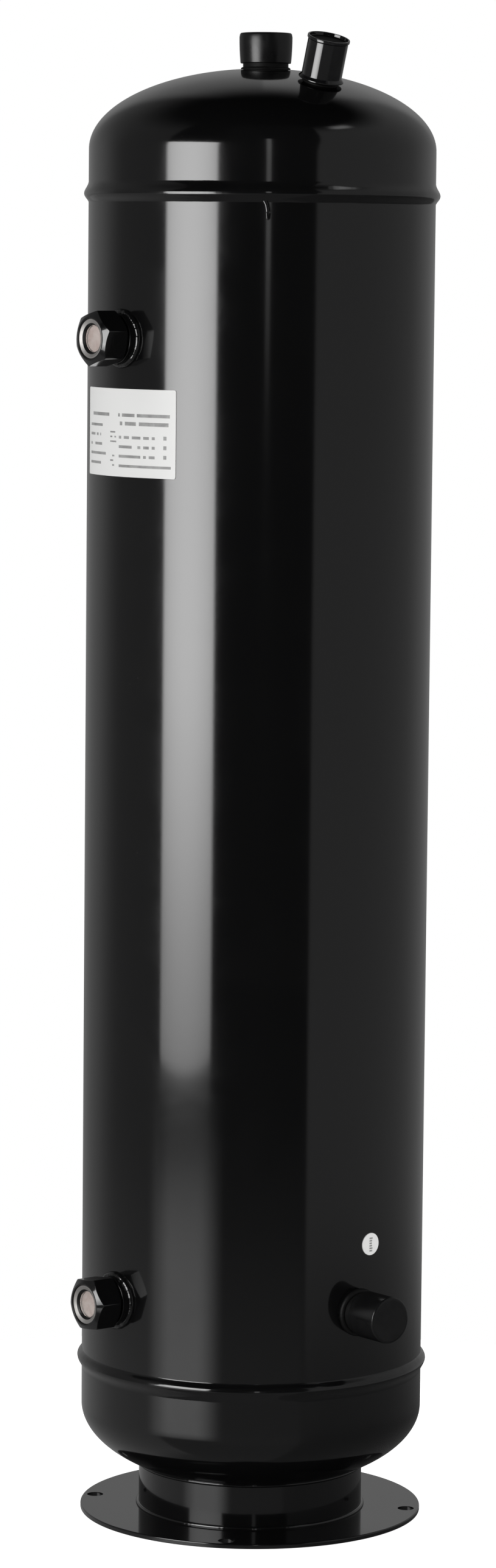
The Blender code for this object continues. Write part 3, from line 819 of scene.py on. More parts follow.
def build_head(name, solid, seam, tangent, rods):
    straight = abs(tangent - seam) - ROOT_HALF
    way_up = math.copysign(1.0, tangent - seam)
    sizes = {"Radius": SHELL_R, "Rise": HEAD_RISE, "Straight": straight, "Way_Up": way_up}
    shape = grown(dished_head, Columns=SHELL_SIDES + 1, Rows=HEAD_ROWS, Finish=ENAMEL, **sizes)
    place = Matrix.Translation((0, 0, seam + way_up * ROOT_HALF))
    head = add_object(name, to_mesh(name, shape, place))
    plate = head.modifiers.new("plate", "SOLIDIFY")
    plate.thickness = WALL * MM
    put_on(drilled(head, rods), solid, ENAMEL)


dished_head = dished_head_tree()
top_ports = ((INLET, INLET_R), (RELIEF, RELIEF_R))
port_rods = [(place, radius + FIT, -4 * WALL, 2 * WALL) for place, radius in top_ports]
build_head("top_dome", "top_head", TOP_SEAM, TOP_TANGENT, port_rods)
build_head("bottom_dome", "bottom_head", LOW_SEAM, LOW_TANGENT, [])

# %% [markdown]
# ## The weld beads
# A weld runs along a path, with a ripple where each drop of metal froze and a slow wander of the welder's
# hand. A ring could be turned, but the welds round the side fittings follow a saddle. So one geometry tree
# sweeps a round or roof-shaped bead along any path and swells it by a ripple and by noise. The bead's belly
# lies inside the plates.

# %% The tree of a weld bead
BEAD_SIDES = 44


def bead_section(tree, given):
    """A closed section: a round or a roof-shaped back above the wall, and a round belly inside it."""
    circle = {"Resolution": BEAD_SIDES, "Radius": 1.0}
    ring = node(tree, "GeometryNodeCurvePrimitiveCircle", circle).outputs["Curve"]
    across, upwards, _ = split(tree, output(tree, "GeometryNodeInputPosition"))
    wave = compute(tree, "COSINE", times(tree, across, math.pi))
    roof = compute(tree, "MULTIPLY_ADD", wave, 0.5, 0.5)
    back = times(tree, between(tree, given["Roof"], upwards, roof), given["Height"])
    belly = times(tree, upwards, given["Depth"])
    above = compute(tree, "GREATER_THAN", upwards, 0.0)
    choice = {"Switch": above, "False": belly, "True": back}
    rise = output(tree, "GeometryNodeSwitch", choice, input_type="FLOAT")
    lean = compute(tree, "MULTIPLY_ADD", across, given["Lean"], 1.0)
    wide = times(tree, across, lean, given["Width"])
    spot = output(tree, "ShaderNodeCombineXYZ", {"X": rise, "Y": wide})
    return output(tree, "GeometryNodeSetPosition", {"Geometry": ring, "Position": spot})


def weld_bead_tree():
    sockets = {"Path": "Geometry", "Width": 1.0, "Height": 1.0, "Depth": 1.0, "Roof": 0.0, "Lean": 0.0}
    sockets.update({"Step": 1.0, "Ripples": 40, "Ripple Depth": 0.05, "Wander": 0.1, "Wander Size": 8.0})
    sockets.update({"Taper": 0.0, "Seed": 1, "Finish": "Material"})
    tree, given, result = new_tree("GeometryNodeTree", "weld_bead", sockets, {"Bead": "Geometry"})
    path = output(tree, "GeometryNodeMeshToCurve", {0: given["Path"]})
    even = {"Curve": path, "Length": given["Step"]}
    course = output(tree, "GeometryNodeResampleCurve", even, mode="LENGTH")
    level = output(tree, "GeometryNodeSetCurveNormal", {"Curve": course}, mode="Z_UP")
    along = node(tree, "GeometryNodeSplineParameter").outputs["Factor"]
    phase = times(tree, along, given["Ripples"], math.pi)
    scallop = compute(tree, "SUBTRACT", compute(tree, "ABSOLUTE", compute(tree, "SINE", phase)), 0.6)
    ripple = times(tree, scallop, given["Ripple Depth"])
    place = output(tree, "GeometryNodeInputPosition")
    scale = compute(tree, "DIVIDE", 1.0, given["Wander Size"])
    cloud = {"Vector": place, "W": given["Seed"], "Scale": scale, "Detail": 1.0}
    noise = node(tree, "ShaderNodeTexNoise", cloud, noise_dimensions="4D").outputs["Fac"]
    wander = times(tree, compute(tree, "SUBTRACT", noise, 0.5), given["Wander"])
    swell = compute(tree, "ADD", 1.0, compute(tree, "ADD", ripple, wander))
    from_middle = compute(tree, "ABSOLUTE", compute(tree, "MULTIPLY_ADD", along, 2.0, -1.0))
    drop = compute(tree, "SUBTRACT", 1.0, compute(tree, "POWER", from_middle, 6.0))
    ends = between(tree, given["Taper"], 1.0, compute(tree, "SQRT", drop))
    size = times(tree, swell, ends)
    sweep = {"Curve": level, "Profile Curve": bead_section(tree, given), "Scale": size, "Fill Caps": True}
    bead = output(tree, "GeometryNodeCurveToMesh", sweep)
    end_tree(tree, bead, given, result["Bead"])
    return tree


def round_fitting(radius, height_at, count=120, start=0.0):
    """A closed path round a fitting's axis, in its frame. height_at(x, y) is the wall's height there."""
    points = []
    for step in range(count):
        angle = 2 * math.pi * step / count + start
        x, y = radius * math.cos(angle), radius * math.sin(angle)
        points.append((x, y, height_at(x, y)))
    mesh = bpy.data.meshes.new("path")
    mesh.from_pydata(points, [(at, (at + 1) % count) for at in range(count)], [])
    return mesh


def ring_path(radius, height):
    """A closed circle round the tank's axis. It starts at the back, where its join is out of sight."""
    return round_fitting(radius, lambda x, y: height, 180, math.pi / 2)


def round_bead(radius):
    return {"Width": radius, "Height": radius, "Depth": radius}


def bead_piece(name, solid, path, place=Matrix(), coat=WELD_ENAMEL, **values):
    piece(name, solid, grown(weld_bead, path, Finish=coat, **values), coat, place)


weld_bead = weld_bead_tree()
print("weld tree with", len(weld_bead.nodes), "nodes")

# %% Weld the two seams
SEAM_PROUD = low_high("top_seam_weld")[1].x - SHELL_R - 0.25
TOP_BEAD = TOP_SEAM + 0.7
LOW_BEAD = LOW_SEAM + 0.2
SEAM_LOOK = {"Height": SEAM_PROUD, "Depth": 1.5, "Roof": 1.0, "Step": 1.2}
SEAM_LOOK.update({"Ripples": 180, "Ripple_Depth": 0.01, "Wander": 0.09})
TOP_LOOK = {"Width": 7.0, "Lean": -0.16, "Wander_Size": 16.0, "Seed": 3}
LOW_LOOK = {"Width": 6.6, "Lean": 0.20, "Wander_Size": 11.0, "Seed": 8}
SEAM_R = SHELL_R - 0.04
bead_piece("top_seam_bead", "top_seam_weld", ring_path(SEAM_R, TOP_BEAD), **SEAM_LOOK, **TOP_LOOK)
bead_piece("low_seam_bead", "bottom_seam_weld", ring_path(SEAM_R, LOW_BEAD), **SEAM_LOOK, **LOW_LOOK)


# %% Let a drop of paint run from the top seam
RUN = ((-3.4, 1.5), (-1.2, -0.9), (0.6, -3.2), (1.6, -7.0), (2.0, -11.5), (1.9, -16.5))
RUN_LOOK = {"Width": 1.5, "Height": 0.55, "Depth": 0.3, "Step": 0.5, "Taper": 1.0}
RUN_LOOK.update({"Ripple_Depth": 0.0, "Wander": 0.3, "Wander_Size": 6.0})


def add_paint_run():
    """Joins a thin run of paint to the shell. RUN holds its azimuths and its heights above the seam."""
    points = [outward(azimuth) * (SHELL_R - 0.05) + Vector((0, 0, TOP_BEAD + up)) for azimuth, up in RUN]
    mesh = bpy.data.meshes.new("run")
    mesh.from_pydata(points, [(at, at + 1) for at in range(len(points) - 1)], [])
    run = to_mesh("paint_run", grown(weld_bead, mesh, Finish=ENAMEL, **RUN_LOOK))
    wall = bpy.data.objects["shell_wall"].data
    joined = bmesh.new()
    joined.from_mesh(wall)
    joined.from_mesh(run)
    joined.to_mesh(wall)
    joined.free()


add_paint_run()

# %% [markdown]
# ## The foot
# A short pipe carries the vessel on a thin round plate, which is drilled near its rim for floor bolts. The
# holes repeat round a circle, so a geometry tree sets a drill on each point of a ring and cuts them all out
# of the turned plate at once.

# %% The tree of a drilled plate
HOLE_SIDES = 48


def drilled_plate_tree():
    sockets = {"Plate": "Geometry", "Ring Radius": 1.0, "Hole Radius": 1.0, "Count": 4, "First Angle": 0.0}
    sockets.update({"Depth": 10.0, "Finish": "Material"})
    tree, given, result = new_tree("GeometryNodeTree", "drilled_plate", sockets, {"Plate": "Geometry"})
    ring = {"Vertices": given["Count"], "Radius": given["Ring Radius"]}
    points = output(tree, "GeometryNodeMeshCircle", ring)
    turn = output(tree, "ShaderNodeCombineXYZ", {"Z": given["First Angle"]})
    turned_ring = output(tree, "GeometryNodeTransform", {"Geometry": points, "Rotation": turn})
    rod = {"Vertices": HOLE_SIDES, "Radius": given["Hole Radius"], "Depth": given["Depth"]}
    drill = node(tree, "GeometryNodeMeshCylinder", rod).outputs["Mesh"]
    drills = output(tree, "GeometryNodeInstanceOnPoints", {"Points": turned_ring, "Instance": drill})
    solid = output(tree, "GeometryNodeRealizeInstances", {0: drills})
    cut = {"Mesh 1": given["Plate"], "Mesh 2": solid}
    holed = output(tree, "GeometryNodeMeshBoolean", cut, operation="DIFFERENCE", solver="EXACT")
    end_tree(tree, holed, given, result["Plate"])
    return tree


# %% Make the plate and the skirt
BOLT_COUNT = 4
BOLT_HOLE_R = 5.25
BOLT_EDGE = 8.0
BOLT_AZIMUTH = -8.3
SKIRT_WALL = 4.0
WELD_INSET = 0.2
FOOT_WELD_R = 1.6
NECK_WELD_R = 1.2
PLATE_R = low_high("base_plate")[1].x
PLATE_T = low_high("base_plate")[1].z
SKIRT_R = low_high("base_skirt")[1].x


def under_head(radius):
    """Height of the bottom head's outside at a distance from the axis."""
    return LOW_TANGENT - HEAD_RISE * math.sqrt(1 - (radius / SHELL_R) ** 2)


def build_plate():
    blank = turned([(0, 0), (PLATE_R, 0, 0.4), (PLATE_R, PLATE_T, 0.7), (0, PLATE_T)], SHELL_SIDES)
    mesh = plain_mesh("blank", blank)
    holes = {"Ring_Radius": PLATE_R - BOLT_EDGE, "Hole_Radius": BOLT_HOLE_R, "Count": BOLT_COUNT}
    first = math.radians(BOLT_AZIMUTH - 90)
    shape = grown(drilled_plate_tree(), mesh, First_Angle=first, Depth=6 * PLATE_T, Finish=ENAMEL, **holes)
    piece("foot_plate", "base_plate", shape, ENAMEL)


def build_skirt():
    inner = SKIRT_R - SKIRT_WALL
    neck = under_head(SKIRT_R)
    pipe = [(inner, PLATE_T), (SKIRT_R, PLATE_T), (SKIRT_R, neck), (inner, under_head(inner))]
    turned_piece("foot_skirt", "base_skirt", pipe, SHELL_SIDES, ENAMEL)
    look = {"Step": 0.7, "Ripples": 150, "Ripple_Depth": 0.02, "Wander": 0.10, "Wander_Size": 7.0}
    foot_path = ring_path(SKIRT_R + WELD_INSET, PLATE_T + WELD_INSET)
    bead_piece("foot_bead", "skirt_foot_weld", foot_path, Seed=5, **round_bead(FOOT_WELD_R), **look)
    neck_path = ring_path(SKIRT_R + WELD_INSET, neck - WELD_INSET)
    bead_piece("neck_bead", "skirt_head_weld", neck_path, Seed=6, **round_bead(NECK_WELD_R), **look)


build_plate()
build_skirt()

# %% [markdown]
# ## Screw threads
# The stubs under the caps and the spigots under the nuts are threaded. A thread is a ridge along a helix, so
# a geometry tree sweeps a four-sided ridge along Blender's spiral curve. The core is turned to the root of
# the thread, and the ridge stands on it.

# %% The tree of a thread
def thread_tree():
    sockets = dict.fromkeys(("Radius", "Depth", "Pitch", "Turns", "Start"), 1.0)
    sockets["Finish"] = "Material"
    tree, given, result = new_tree("GeometryNodeTree", "screw_thread", sockets, {"Thread": "Geometry"})
    root = compute(tree, "SUBTRACT", given["Radius"], given["Depth"])
    rise = times(tree, given["Turns"], given["Pitch"])
    helix = {"Resolution": 60, "Rotations": given["Turns"], "Height": rise}
    helix.update({"Start Radius": root, "End Radius": root})
    spiral = output(tree, "GeometryNodeCurveSpiral", helix)
    lift = output(tree, "ShaderNodeCombineXYZ", {"Z": given["Start"]})
    lifted = output(tree, "GeometryNodeTransform", {"Geometry": spiral, "Translation": lift})
    upright = output(tree, "GeometryNodeSetCurveNormal", {"Curve": lifted}, mode="Z_UP")
    section = {"Resolution": 4, "Radius": given["Depth"]}
    ridge = node(tree, "GeometryNodeCurvePrimitiveCircle", section).outputs["Curve"]
    sweep = {"Curve": upright, "Profile Curve": ridge, "Fill Caps": True}
    thread = output(tree, "GeometryNodeCurveToMesh", sweep)
    end_tree(tree, thread, given, result["Thread"])
    return tree


screw_thread = thread_tree()
THREAD_PITCH = 1.5
THREAD_DEPTH = 0.6
TUBE_SIDES = 128


def threaded_piece(name, solid, outline, thread, paint_line, finishes, place):
    """A turned tube with a thread on it. The second finish is what was sprayed on below paint_line."""
    shape = turned(outline, TUBE_SIDES)
    radius, start, end = thread
    sizes = {"Radius": radius, "Depth": THREAD_DEPTH, "Pitch": THREAD_PITCH, "Start": start}
    ridge = grown(screw_thread, Turns=(end - start) / THREAD_PITCH, Finish=finishes[0], **sizes)
    shape.from_mesh(plain_mesh("ridge", ridge))
    two_finish_piece(name, solid, shape, finishes, lambda point: point.z < paint_line, place)


print("thread tree with", len(screw_thread.nodes), "nodes")

# %% [markdown]
# ## The ports
# Each port is a threaded stub, welded through the wall and closed by a cap that pulls off. The weld's path
# lies on the wall all the way round the stub. On the shell that is a saddle, and on a head it is found where
# a line along the stub meets the ellipse.

# %% The wall's height round a fitting
def on_shell(x, y):
    return math.sqrt(SHELL_R**2 - x**2)


def on_head(place):
    """A rule for the top head's outside, measured along a fitting from its anchor."""
    weigh = Vector((1 / SHELL_R, 1 / SHELL_R, 1 / HEAD_RISE))
    course = (place.to_3x3() @ Vector((0, 0, 1))) * weigh

    def height_at(x, y):
        start = place @ Vector((x, y, 0)) - Vector((0, 0, TOP_TANGENT))
        origin = start * weigh
        half = origin.dot(course)
        reach = course.dot(course)
        return (math.sqrt(half**2 - reach * (origin.dot(origin) - 1)) - half) / reach

    return height_at


# %% A port's stub and its weld
PORT_WELD = {"Step": 0.5, "Ripples": 46, "Ripple_Depth": 0.04, "Wander": 0.30, "Wander_Size": 6.0}
THREAD_RUN_IN = 1.5
THREAD_RUN_OUT = 1.2
NECK_IN_CAP = 2.0
STUB_WELD_OUT = 0.1
CAP_SIDES = 160


def port_stub(port, place, radius, bore, low, neck, end):
    """A tube from low to end, in the port's frame. It is painted up to its neck and threaded above."""
    root = radius - THREAD_DEPTH
    outline = [
        (bore, low, 0.4),
        (radius, low, 0.4),
        (radius, neck, 0.3),
        (root, neck + THREAD_DEPTH),
        (root, end, 0.8),
        (bore, end, 0.5),
    ]
    thread = (radius, neck + THREAD_RUN_IN, end - THREAD_RUN_OUT)
    threaded_piece(port + "_tube", port + "_stub", outline, thread, neck, (STEEL, DULL_ENAMEL), place)


def port_bead(port, place, path, size, seed):
    look = {"coat": DULL_ENAMEL, "Seed": seed, **round_bead(size), **PORT_WELD}
    bead_piece(port + "_bead", port + "_weld", path, place, **look)


# %% The inlet on the crown
INLET_BORE_R = 10.0
INLET_STAND = 19.4
INLET_TAIL = 14.0
INLET_WELD_R = 1.3
INLET_CAP_R = 16.7
INLET_CAP_GAP = 3.3
INLET_CAP_TOP = 2.6
INLET_CAP_BARREL = 0.8
INLET_CAP_CROWN = 0.19
INLET_CAP_ROUND = 2.6
INLET_CAP_SHOULDER = 3.0
INLET_CAP_DRAFT = 0.5
BARREL_STEPS = 6


def build_inlet():
    foot = INLET_CAP_GAP
    port_stub("inlet", INLET, INLET_R, INLET_BORE_R, -INLET_TAIL, foot + NECK_IN_CAP, INLET_STAND)
    port_bead("inlet", INLET, round_fitting(INLET_R + STUB_WELD_OUT, on_head(INLET)), INLET_WELD_R, 11)
    inner = INLET_R + FIT
    seat = INLET_STAND + FIT
    top = seat + INLET_CAP_TOP
    cap = [(0, seat), (inner, seat, 0.5), (inner, foot, 0.3)]
    cap.append((INLET_CAP_R - INLET_CAP_BARREL, foot, 0.5))
    for step in range(1, BARREL_STEPS):
        share = step / BARREL_STEPS
        height = foot + share * (top - INLET_CAP_SHOULDER - foot)
        cap.append((INLET_CAP_R - INLET_CAP_BARREL * (1 - share) ** 2, height))
    cap += [
        (INLET_CAP_R, top - INLET_CAP_ROUND),
        (INLET_CAP_R - INLET_CAP_DRAFT, top, INLET_CAP_ROUND),
        (0, top + INLET_CAP_CROWN),
    ]
    turned_piece("inlet_cover", "inlet_cap", cap, CAP_SIDES, SATIN_RUBBER, INLET)


build_inlet()

# %% The relief port on the shoulder
RELIEF_BORE_R = 7.5
RELIEF_WELD_R = 1.05
RELIEF_NECK_IN_CAP = 4.0
RELIEF_CAP_R = 12.6
RELIEF_CAP_LIP = 0.7
RELIEF_CAP_FOOT_LIP = 1.5
RELIEF_CAP_FOOT_EDGE = 0.7
RELIEF_CAP_FLANGE = 1.7
RELIEF_CAP_SLOPE = 0.6
RELIEF_CAP_RIM = 0.4
RELIEF_CAP_DRAFT = 0.4
RELIEF_CAP_GAP = 1.5
RELIEF_CAP_TOP = 3.0
RELIEF_CAP_DISH = 2.0


def build_relief():
    foot = RELIEF_CAP_GAP
    neck = foot + RELIEF_NECK_IN_CAP
    port_stub("relief", RELIEF, RELIEF_R, RELIEF_BORE_R, -RELIEF_TAIL, neck, RELIEF_STAND)
    path = round_fitting(RELIEF_R + STUB_WELD_OUT, on_head(RELIEF))
    port_bead("relief", RELIEF, path, RELIEF_WELD_R, 12)
    inner = RELIEF_R + FIT
    flange = RELIEF_CAP_R + RELIEF_CAP_LIP
    foot_flange = RELIEF_CAP_R + RELIEF_CAP_FOOT_LIP
    seat = RELIEF_STAND + FIT
    top = seat + RELIEF_CAP_TOP
    floor = top - RELIEF_CAP_DISH
    dish = RELIEF_CAP_R - RELIEF_CAP_RIM
    cap = [
        (0, seat),
        (inner, seat, 0.4),
        (inner, foot, 0.2),
        (foot_flange, foot, 0.2),
        (foot_flange, foot + RELIEF_CAP_FOOT_EDGE, 0.2),
        (RELIEF_CAP_R, foot + RELIEF_CAP_FLANGE + RELIEF_CAP_SLOPE, 0.4),
        (RELIEF_CAP_R, top - RELIEF_CAP_FLANGE - RELIEF_CAP_SLOPE, 0.4),
        (flange, top - RELIEF_CAP_FLANGE, 0.4),
        (flange, top, 0.55),
        (dish, top, 0.3),
        (dish - RELIEF_CAP_DRAFT, floor, 0.4),
        (0, floor),
    ]

    def on_floor(point):
        return abs(point.z - floor) < 0.1

    shape = turned(cap, CAP_SIDES)
    two_finish_piece("relief_cover", "relief_cap", shape, (PLASTIC, MOULDED_PLASTIC), on_floor, RELIEF)


build_relief()

# %% The outlet near the foot
OUTLET_BORE_R = 8.0
OUTLET_STAND = 28.0
OUTLET_TAIL = 10.0
OUTLET_WELD_R = 2.0
OUTLET_CAP_R = 14.6
OUTLET_CAP_TOP = 2.8
OUTLET_CAP_GAP = 7.0
OUTLET_CAP_ROUND = 1.6
SADDLE_LIFT = 0.4


def build_outlet():
    foot = SHELL_R + OUTLET_CAP_GAP
    end = SHELL_R + OUTLET_STAND
    low = SHELL_R - OUTLET_TAIL
    port_stub("outlet", OUTLET, OUTLET_R, OUTLET_BORE_R, low, foot + NECK_IN_CAP, end)
    path = round_fitting(OUTLET_R + SADDLE_LIFT, lambda x, y: on_shell(x, y) + SADDLE_LIFT)
    port_bead("outlet", OUTLET, path, OUTLET_WELD_R, 13)
    inner = OUTLET_R + FIT
    seat = end + FIT
    top = seat + OUTLET_CAP_TOP
    cap = [
        (0, seat),
        (inner, seat, 0.4),
        (inner, foot, 0.3),
        (OUTLET_CAP_R, foot, 0.4),
        (OUTLET_CAP_R, top, OUTLET_CAP_ROUND),
        (0, top),
    ]
    turned_piece("outlet_cover", "outlet_cap", cap, CAP_SIDES, MATTE_RUBBER, OUTLET)


build_outlet()

# %% [markdown]
# ## The sight glasses
# A boss with a threaded spigot is welded into the shell. A seal, a coppery disc, a glass and a bright ring
# lie on it, and a hexagon nut clamps them. The nut's chamfer is a cone that cuts a hexagon, so its outline
# is a rule: at each angle the hexagon's radius sets how deep the cone has cut.

# %% Sizes of a sight glass
BOSS_STAND = 5.2
BOSS_TAIL = 9.5
BOSS_BORE_R = 7.5
BOSS_WELD_R = 2.3
BOSS_WELD_LIFT = 0.5
SPIGOT_R = 13.3
SPIGOT_LENGTH = 12.6
SPIGOT_RUN_IN = 1.2
SPIGOT_RUN_OUT = 0.8
SEAL_T = 1.2
DISC_T = 1.0
LENS_R = 8.3
LENS_T = 2.0
LENS_SIDES = 96
RING_FLANGE = 2.4
RING_NOSE = 2.2
RING_SLOPE = 1.0
NUT_AF = 31.0
NUT_CORNER = 1.0
NUT_FRONT_R = 13.5
NUT_BACK_R = 15.2
NUT_CHAMFER = math.tan(math.radians(30))
NUT_LIP = 2.2
NUT_LIP_R = 12.5
NUT_STANDOFF = 1.8
NUT_SIDES = 360
NUT_TURN = {"upper": -14.0, "lower": 36.0}
BOSS_END = SHELL_R + BOSS_STAND
SPIGOT_END = BOSS_END + SPIGOT_LENGTH
RING_LOW = SPIGOT_END + FIT + SEAL_T + FIT
FLANGE_HIGH = RING_LOW + RING_FLANGE
NOSE_HIGH = FLANGE_HIGH + RING_NOSE
LIP_LOW = FLANGE_HIGH + FIT
NUT_LOW = BOSS_END + NUT_STANDOFF
NUT_HIGH = LIP_LOW + NUT_LIP
print(f"a nut reaches from {NUT_LOW:.1f} to {NUT_HIGH:.1f} off the tank's axis")


# %% The outline of a hexagon nut
def hexagon(angle):
    """Radius of a hexagon with rounded corners."""
    flat = NUT_AF / 2
    off_flat = abs((angle + math.pi / 6) % (math.pi / 3) - math.pi / 6)
    tangent = (flat - NUT_CORNER) * math.tan(math.pi / 6)
    if math.tan(off_flat) * flat < tangent:
        return flat / math.cos(off_flat)
    centre = (flat - NUT_CORNER) / math.cos(math.pi / 6)
    off_corner = math.pi / 6 - off_flat
    return centre * math.cos(off_corner) + math.sqrt(NUT_CORNER**2 - (centre * math.sin(off_corner)) ** 2)


def nut_outline(angle):
    radius = hexagon(angle)
    thread = SPIGOT_R + FIT
    return [
        (thread, NUT_LOW, 0.3),
        (NUT_BACK_R, NUT_LOW, 0.1),
        (radius, NUT_LOW + (radius - NUT_BACK_R) * NUT_CHAMFER, 0.25),
        (radius, NUT_HIGH - (radius - NUT_FRONT_R) * NUT_CHAMFER, 0.35),
        (NUT_FRONT_R, NUT_HIGH, 0.25),
        (NUT_LIP_R, NUT_HIGH, 0.25),
        (NUT_LIP_R, LIP_LOW, 0.2),
        (thread, LIP_LOW, 0.2),
    ]


# %% Make the sight glasses
GLASS_WELD = {"Step": 0.5, "Ripples": 60, "Ripple_Depth": 0.05, "Wander": 0.60, "Wander_Size": 3.5}


def build_ring(level, solid, outline, place):
    """The bright ring. The bore that holds the glass takes black rubber: painted shade for the dark recess round
    the glass.
    """

    def in_shaded_bore(point):
        return point.xy.length < LENS_R + FIT + RING_SLOPE and point.z > RING_LOW + 0.1

    shape = turned(outline, TUBE_SIDES)
    # The bore's faces take black rubber instead of nickel: painted shade in the recess, not a lip of their own.
    two_finish_piece(level + "_bezel", solid + "ring", shape, (NICKEL, SATIN_RUBBER), in_shaded_bore, place)


def build_glass(level, place, seed):
    solid = level + "_glass_"
    root = SPIGOT_R - THREAD_DEPTH
    boss = [
        (BOSS_BORE_R, SHELL_R - BOSS_TAIL, 0.4),
        (BOSS_R, SHELL_R - BOSS_TAIL, 0.4),
        (BOSS_R, BOSS_END, 0.35),
        (root, BOSS_END, 0.3),
        (root, SPIGOT_END, 0.4),
        (BOSS_BORE_R, SPIGOT_END, 0.3),
    ]
    thread = (SPIGOT_R, BOSS_END + SPIGOT_RUN_IN, SPIGOT_END - SPIGOT_RUN_OUT)
    threaded_piece(level + "_spigot", solid + "boss", boss, thread, SPIGOT_END + 1, (ENAMEL, ENAMEL), place)
    path = round_fitting(BOSS_R + BOSS_WELD_LIFT, lambda x, y: on_shell(x, y) + BOSS_WELD_LIFT)
    look = {"Seed": seed, **round_bead(BOSS_WELD_R), **GLASS_WELD}
    bead_piece(level + "_bead", solid + "boss_weld", path, place, **look)

    seat = LENS_R + FIT
    rim = SPIGOT_R - FIT / 2
    nose = NUT_LIP_R - FIT
    disc_low = SPIGOT_END + FIT
    disc_high = disc_low + DISC_T
    disc = [(0, disc_low), (LENS_R, disc_low, 0.15), (LENS_R, disc_high, 0.15), (0, disc_high)]
    turned_piece(level + "_indicator", solid + "disc", disc, LENS_SIDES, COPPER, place)
    front = RING_LOW + LENS_T
    glass = [(0, RING_LOW), (LENS_R, RING_LOW, 0.15), (LENS_R, front, 0.3), (0, front)]
    turned_piece(level + "_window", solid + "lens", glass, LENS_SIDES, GLASS, place)
    ring = [
        (seat, RING_LOW, 0.1),
        (rim, RING_LOW, 0.15),
        (rim, FLANGE_HIGH, 0.15),
        (nose, FLANGE_HIGH, 0.15),
        (nose, NOSE_HIGH, 0.5),
        (seat + RING_SLOPE, NOSE_HIGH - RING_SLOPE, 0.4),
        (seat, NOSE_HIGH - 2 * RING_SLOPE, 0.15),
    ]
    build_ring(level, solid, ring, place)
    turn = degrees_about("Z", NUT_TURN[level])
    turned_piece(level + "_hexagon", solid + "nut", nut_outline, NUT_SIDES, ENAMEL, place @ turn)


for seed, (level, place) in enumerate(GLASSES.items(), start=21):
    build_glass(level, place, seed)

# %% [markdown]
# ## The label and the sticker
# A printed foil label wraps the shell's left side, and a small round sticker sits above the outlet. Both are
# thin sheets bent to the shell. A flat plane would sink into the curve, so each is made of upright strips
# whose height follows its outline. The print is left as plain grey bars, like lines of text seen from afar.

# %% Ink for printed foil
INK_SIZES = ("Left", "Right", "Low", "High", "Rows", "Thickness", "Words", "Ragged", "Gaps", "Seed")


def ink_lines_group():
    sockets = dict.fromkeys(("U", "V", *INK_SIZES), 0.5)
    tree, given, result = new_tree("ShaderNodeTree", "ink_lines", sockets, {"Mask": "Float"})

    def share(value, low, high):
        ramp = {"Value": given[value], "From Min": given[low], "From Max": given[high]}
        return output(tree, "ShaderNodeMapRange", ramp, clamp=False)

    def inside(value):
        return times(tree, compute(tree, "GREATER_THAN", value, 0.0), compute(tree, "LESS_THAN", value, 1.0))

    across = share("U", "Left", "Right")
    upwards = share("V", "Low", "High")
    in_rows = times(tree, upwards, given["Rows"])
    row = compute(tree, "FLOOR", in_rows)
    line = compute(tree, "LESS_THAN", compute(tree, "FRACT", in_rows), given["Thickness"])
    where = output(tree, "ShaderNodeCombineXYZ", {"X": row, "Y": given["Seed"]})
    length = node(tree, "ShaderNodeTexWhiteNoise", {"Vector": where}).outputs["Value"]
    end = compute(tree, "SUBTRACT", 1.0, times(tree, length, given["Ragged"]))
    reach = compute(tree, "LESS_THAN", across, end)
    words = compute(tree, "FLOOR", times(tree, across, given["Words"]))
    spot = output(tree, "ShaderNodeCombineXYZ", {"X": words, "Y": row, "Z": given["Seed"]})
    chance = node(tree, "ShaderNodeTexWhiteNoise", {"Vector": spot}).outputs["Value"]
    word = compute(tree, "GREATER_THAN", chance, given["Gaps"])
    mask = times(tree, inside(across), inside(upwards), line, reach, word)
    tree.links.new(mask, result["Mask"])
    return tree


ink_lines = ink_lines_group()
# Left, right, low, high, rows, thickness of a line, words in a line, ragged right edge, gaps, seed
INK_BLOCKS = [
    (0.10, 0.37, 0.683, 0.725, 1, 0.90, 1, 0.0, 0.0, 1),
    (0.48, 0.955, 0.683, 0.725, 1, 0.90, 22, 0.0, 0.08, 9),
    (0.50, 0.945, 0.585, 0.635, 1, 0.85, 16, 0.0, 0.20, 3),
    (0.05, 0.33, 0.130, 0.670, 5, 0.28, 9, 0.30, 0.10, 4),
    (0.385, 0.465, 0.118, 0.604, 9, 0.34, 3, 0.50, 0.30, 7),
    (0.49, 0.71, 0.217, 0.541, 3, 0.30, 8, 0.0, 0.10, 5),
    (0.735, 0.835, 0.217, 0.541, 3, 0.30, 4, 0.0, 0.10, 8),
    (0.905, 0.93, 0.217, 0.541, 3, 0.40, 1, 0.0, 0.0, 6),
    (0.49, 0.965, 0.108, 0.140, 1, 0.95, 1, 0.0, 0.0, 2),
]
INK = grey(0.12)
MARK = (0.42, 0.62, 0.16, 0.84, 6, 0.62, 1, 0.35, 0.0, 2)


def printed_foil(name, blocks, paper):
    made, tree, shader, place = new_finish(name)
    u, v, _ = split(tree, output(tree, "ShaderNodeUVMap"))
    ink = 0.0
    for block in blocks:
        inputs = {"U": u, "V": v, **dict(zip(INK_SIZES, block))}
        mask = output(tree, "ShaderNodeGroup", inputs, node_tree=ink_lines)
        ink = compute(tree, "MAXIMUM", ink, mask)
    worn = effect(tree, smudges, place, Size=7.0, Contrast=0.3)
    faded = times(tree, ink, between(tree, worn, 0.8, 0.55))
    look = {"Base Color": two_tone(tree, faded, paper, INK), "Roughness": between(tree, worn, 0.38, 0.5)}
    feed(tree, shader, look)
    bumped(tree, shader, effect(tree, orange_peel, place, Size=9.0), 0.35, 0.05)
    return made


LABEL_PRINT = printed_foil("printed_label", INK_BLOCKS, (0.80, 0.80, 0.79))
STICKER_PRINT = printed_foil("printed_sticker", [MARK], (0.82, 0.82, 0.81))

